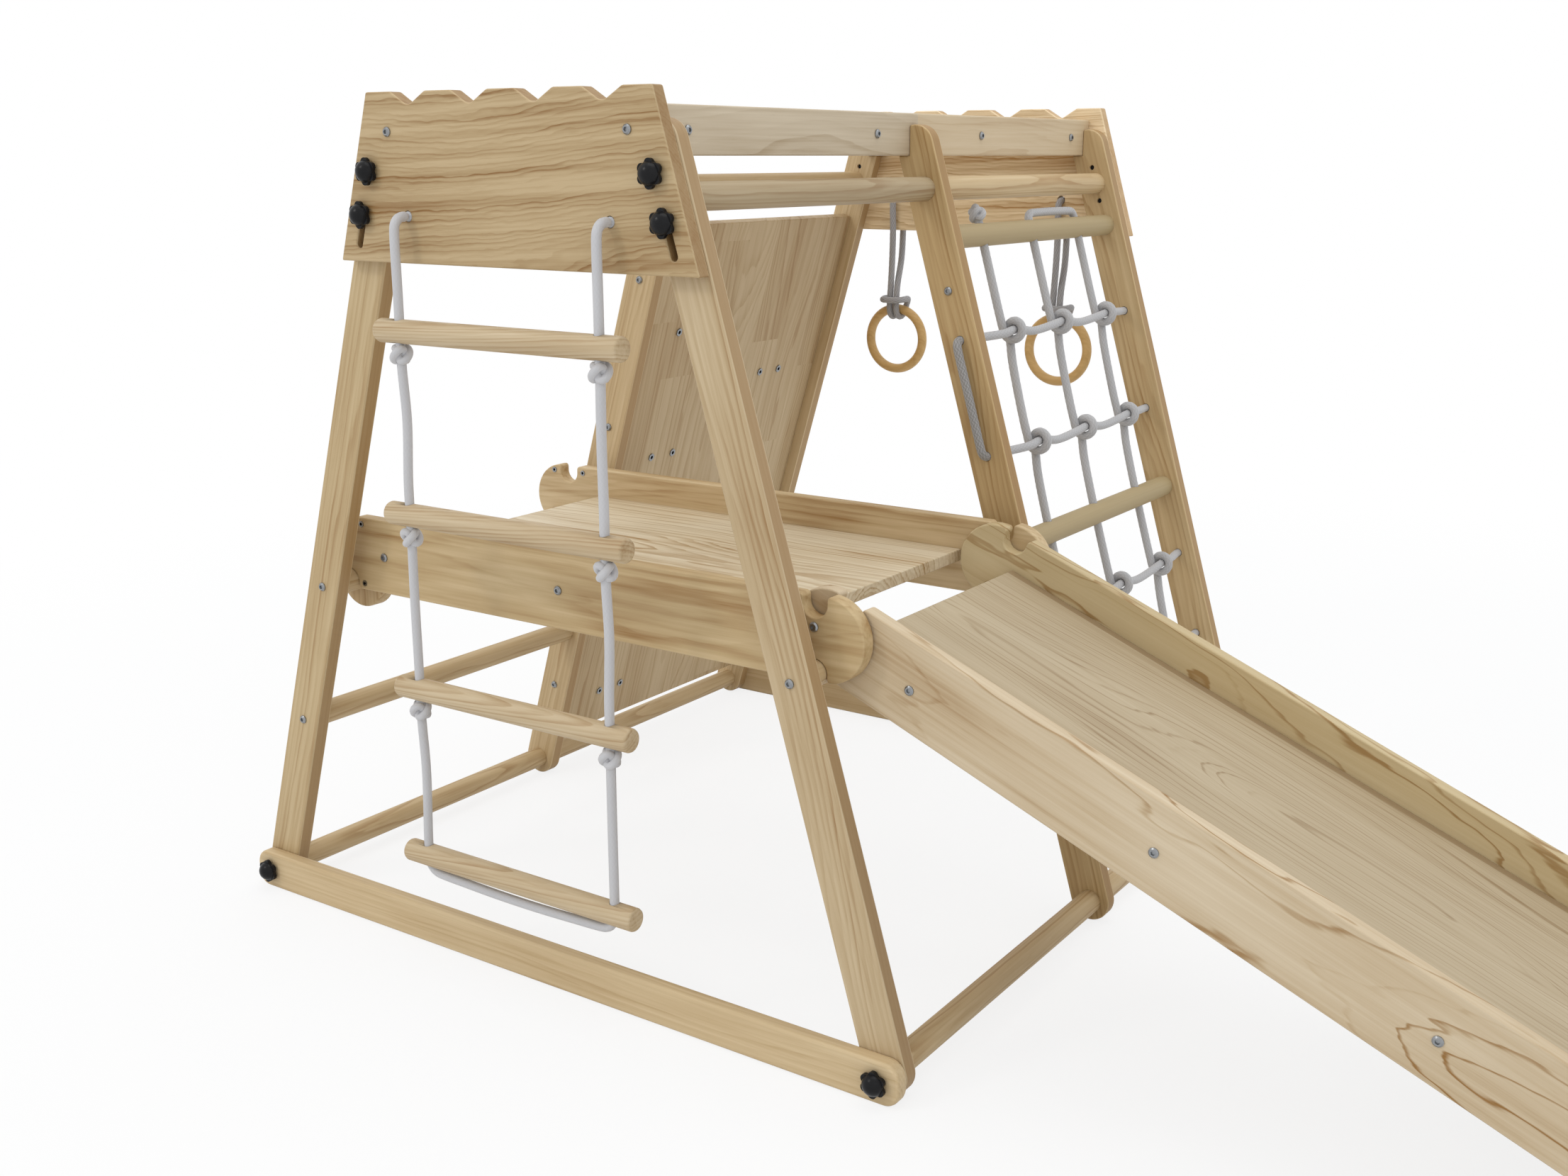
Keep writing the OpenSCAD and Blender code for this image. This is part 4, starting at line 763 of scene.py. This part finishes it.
def makeNet():
    rows = []
    for i, z in enumerate(net["rows"]):
        toFront = i % 2 == 0
        rows += rowPoints(z, toFront)
        if i + 1 < len(net["rows"]):
            outside = build["midY"] - net["turn"] if toFront else build["rearY"] + net["turn"]
            rows += turnPoints(z, net["rows"][i + 1], outside, -1 if toFront else 1)
    highBar = along(build["netBarHigh"])
    bridge = highBar + build["barR"] + net["radius"] + net["overBar"]
    first = uprightPoints(net["uprights"][0], highBar + build["barR"] + net["topEnd"])
    left, right = (uprightPoints(y, highBar)[1:] for y in net["uprights"][1:])
    over = (quarter((0, net["uprights"][1], bridge), (0, 0, -1), (0, 1, 0), net["turn"])
            + quarter((0, net["uprights"][2], bridge), (0, -1, 0), (0, 0, -1), net["turn"]))
    lengths = {}
    for name, points, owned in (("netRows", rows, ["climbing_net"]), ("netUpright", first, []),
                                ("netUprightPair", left[::-1] + over + right, [])):
        route = smoothRoute([onLeg(*p) for p in points], net["step"])
        mesh = ropeMesh(name, route, net["radius"] - net["braidIn"], braid)
        addPiece(name, mesh, "frame", finishes["netCord"], owned)
        lengths[name] = round(routeLength(route), 3)
    seat = (0, net["uprights"][0], highBar + build["barR"] + net["stopper"])
    bow = [onLeg(*p) for p in knotRoute(seat, net["stopperReach"], net["stopperRise"], 0.4)]
    walk = smoothRoute(bow, net["stopperStep"], closed=True)
    mesh = ropeMesh("netStopper", walk, net["stopperR"], braid, closed=True)
    addPiece("netStopper", mesh, "frame", finishes["netCord"])
    return lengths


print("net ropes, metres:", makeNet())


# boards: copies of the solids with eased edges, so that light catches them

easing = {"board": 2.4, "base": 5.0, "deck": 1.6, "rung": 3.6, "skipRim": 0.058, "endFlat": 0.0005, "weld": 1e-5,
          "flat": math.radians(0.6), "sharp": math.radians(38)}


def easeNode(node, width, finish, segments=3, endsOnly=False):
    mesh = frame["nodes"][node].data.copy()
    made = bmesh.new()
    made.from_mesh(mesh)
    bmesh.ops.remove_doubles(made, verts=made.verts, dist=easing["weld"])
    bmesh.ops.dissolve_limit(made, angle_limit=easing["flat"], verts=made.verts, edges=made.edges)
    todo = {e for e in made.edges if e.is_manifold and e.calc_face_angle(0.0) > easing["sharp"]}
    chosen = []
    while todo:
        # small rims, such as bolt holes, keep their edge; endsOnly takes the rims square to x alone
        heap, rim = [todo.pop()], []
        while heap:
            edge = heap.pop()
            rim.append(edge)
            near = {e for v in edge.verts for e in v.link_edges if e in todo}
            todo -= near
            heap += near
        reach = [v.co.x for e in rim for v in e.verts]
        level = max(reach) - min(reach) < easing["endFlat"]
        if sum(e.calc_length() for e in rim) > easing["skipRim"] and (level or not endsOnly):
            chosen += rim
    bmesh.ops.bevel(made, geom=chosen, offset=width * mm, offset_type="OFFSET", segments=segments, profile=0.5,
                    affect="EDGES", clamp_overlap=False, material=-1)
    made.to_mesh(mesh)
    made.free()
    mesh.name = camel(node)
    smoothFaces(mesh)
    piece = addPiece(camel(node), mesh, frame["nodes"][node]["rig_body"], finish, [node])
    piece.modifiers.new("faceNormals", "WEIGHTED_NORMAL").keep_sharp = True
    return piece


boards = {
    "leg_front_left": "legLeft", "leg_middle_left": "legLeft", "leg_back_left": "legLeft",
    "leg_front_right": "legRight", "leg_middle_right": "legRight", "leg_back_right": "legRight",
    "end_panel_front": "panel", "end_panel_back": "panel", "base_rail_front": "baseRail", "base_rail_back": "baseRail",
    "top_rail_left": "topRail", "top_rail_right": "topRail", "platform_side_front": "side",
    "platform_side_back": "side", "slide_side_front": "slideSide", "slide_side_back": "slideFar",
    "platform_keepers": "keeper",
}
decks = {"platform_deck": "deck", "slide_deck": "slideDeck", "climbing_wall": "wall"}
for node, wood in boards.items():
    width = easing["base" if wood == "baseRail" else "board"]
    easeNode(node, width, woodFor(node, wood))
for node, wood in decks.items():
    easeNode(node, easing["deck"], woodFor(node, wood), 2)
easeNode("ladder_rungs", easing["rung"], woodFor("ladder_rungs", "rung"), 2, endsOnly=True)
print("edges eased")

# solids that keep their shape get their finish
kept = {"cross_bars": "rung", "net_bars": "oliveBar", "ring_left": "ring", "ring_right": "ring",
        "climbing_holds": "hold"}
plated = {"hold_fasteners", "platform_bolts", "slide_bolts", "frame_bolts", "bar_studs"}
for node, thing in frame["nodes"].items():
    if thing.hide_render:
        continue
    thing.data.materials.clear()
    if node in plated:
        thing.data.materials.append(finishes["zincPlate"])
    elif node.startswith("knob_"):
        thing.data.materials.append(finishes["satinBlack"])
    else:
        thing.data.materials.append(woodFor(node, kept.get(node, "bar")))
print("solids finished")

# stage: pale floor, white surroundings, a key from the upper left, a wide fill and a soft light from above

stage = {"floor": 14.0, "drop": 0.0008, "grey": (0.84, 0.84, 0.84, 1.0), "glow": 0.82, "near": 1.3, "far": 3.6,
         "middle": (0.45, 0.62), "world": 0.92, "sky": (0.96, 0.98, 1.0, 1.0)}
white = (1.0, 1.0, 1.0, 1.0)


def makeFloor(look):
    made = bmesh.new()
    bmesh.ops.create_grid(made, x_segments=1, y_segments=1, size=look["floor"])
    mesh = bpy.data.meshes.new("studioFloor")
    made.to_mesh(mesh)
    made.free()
    floor = bpy.data.objects.new("studioFloor", mesh)
    scene.collection.objects.link(floor)
    floor.location.z = -look["drop"]
    f = Finish("studioFloor")
    f.set(Base_Color=look["grey"], Roughness=0.9)
    path = f.node("ShaderNodeLightPath")
    seen = f.out(path, "Is Camera Ray").most(f.out(path, "Is Glossy Ray")).most(f.out(path, "Is Transmission Ray"))
    x, y = f.place(0.0, (*look["middle"], 0.0))[:2]
    fade = f.span((x * x + y * y).root(), look["near"], look["far"], look["glow"], 1.0)
    glow = f.node("ShaderNodeEmission", None, {"Color": white, "Strength": 1.0})
    blend = f.node("ShaderNodeMixShader", None, {0: seen * fade, 1: f.out(f.shader), 2: f.out(glow)})
    end = next(n for n in f.tree.nodes if n.type == "OUTPUT_MATERIAL")
    f.tree.links.new(blend.outputs[0], end.inputs[0])
    mesh.materials.append(f.material)


def makeWorld(look):
    world = bpy.data.worlds.new("studio")
    scene.world = world
    world.use_nodes = True
    tree = world.node_tree
    tree.nodes.clear()
    path = tree.nodes.new("ShaderNodeLightPath")
    soft, plain = (tree.nodes.new("ShaderNodeBackground") for _ in range(2))
    soft.inputs["Color"].default_value = look["sky"]
    soft.inputs["Strength"].default_value = look["world"]
    plain.inputs["Color"].default_value = white
    seen = tree.nodes.new("ShaderNodeMath")
    seen.operation = "MAXIMUM"
    blend = tree.nodes.new("ShaderNodeMixShader")
    end = tree.nodes.new("ShaderNodeOutputWorld")
    links = [
        (path.outputs["Is Camera Ray"], seen.inputs[0]), (path.outputs["Is Glossy Ray"], seen.inputs[1]),
        (seen.outputs[0], blend.inputs[0]), (soft.outputs[0], blend.inputs[1]), (plain.outputs[0], blend.inputs[2]),
        (blend.outputs[0], end.inputs[0]),
    ]
    for source, target in links:
        tree.links.new(source, target)


lamps = {
    "keyLamp": {"place": (-1.9, -3.2, 3.9), "aim": (0.1, 0.5, 0.6), "size": 0.8, "power": 34,
                "tint": (1.0, 0.97, 0.93)},
    "fillLamp": {"place": (3.6, -1.8, 2.6), "aim": (0.2, 0.5, 0.5), "size": 3.2, "power": 5,
                 "tint": (0.97, 0.98, 1.0)},
    "topLamp": {"place": (0.6, 0.6, 4.6), "aim": (0.3, 0.5, 0.4), "size": 3.0, "power": 44, "tint": (1.0, 1.0, 1.0)},
}


def makeLamps(looks):
    for name, look in looks.items():
        data = bpy.data.lights.new(name, "AREA")
        data.size = look["size"]
        data.energy = look["power"]
        data.color = look["tint"]
        lamp = bpy.data.objects.new(name, data)
        scene.collection.objects.link(lamp)
        lamp.location = look["place"]
        lamp.rotation_euler = (Vector(look["aim"]) - Vector(look["place"])).to_track_quat("-Z", "Y").to_euler()


makeFloor(stage)
makeWorld(stage)
makeLamps(lamps)
print("stage lit")
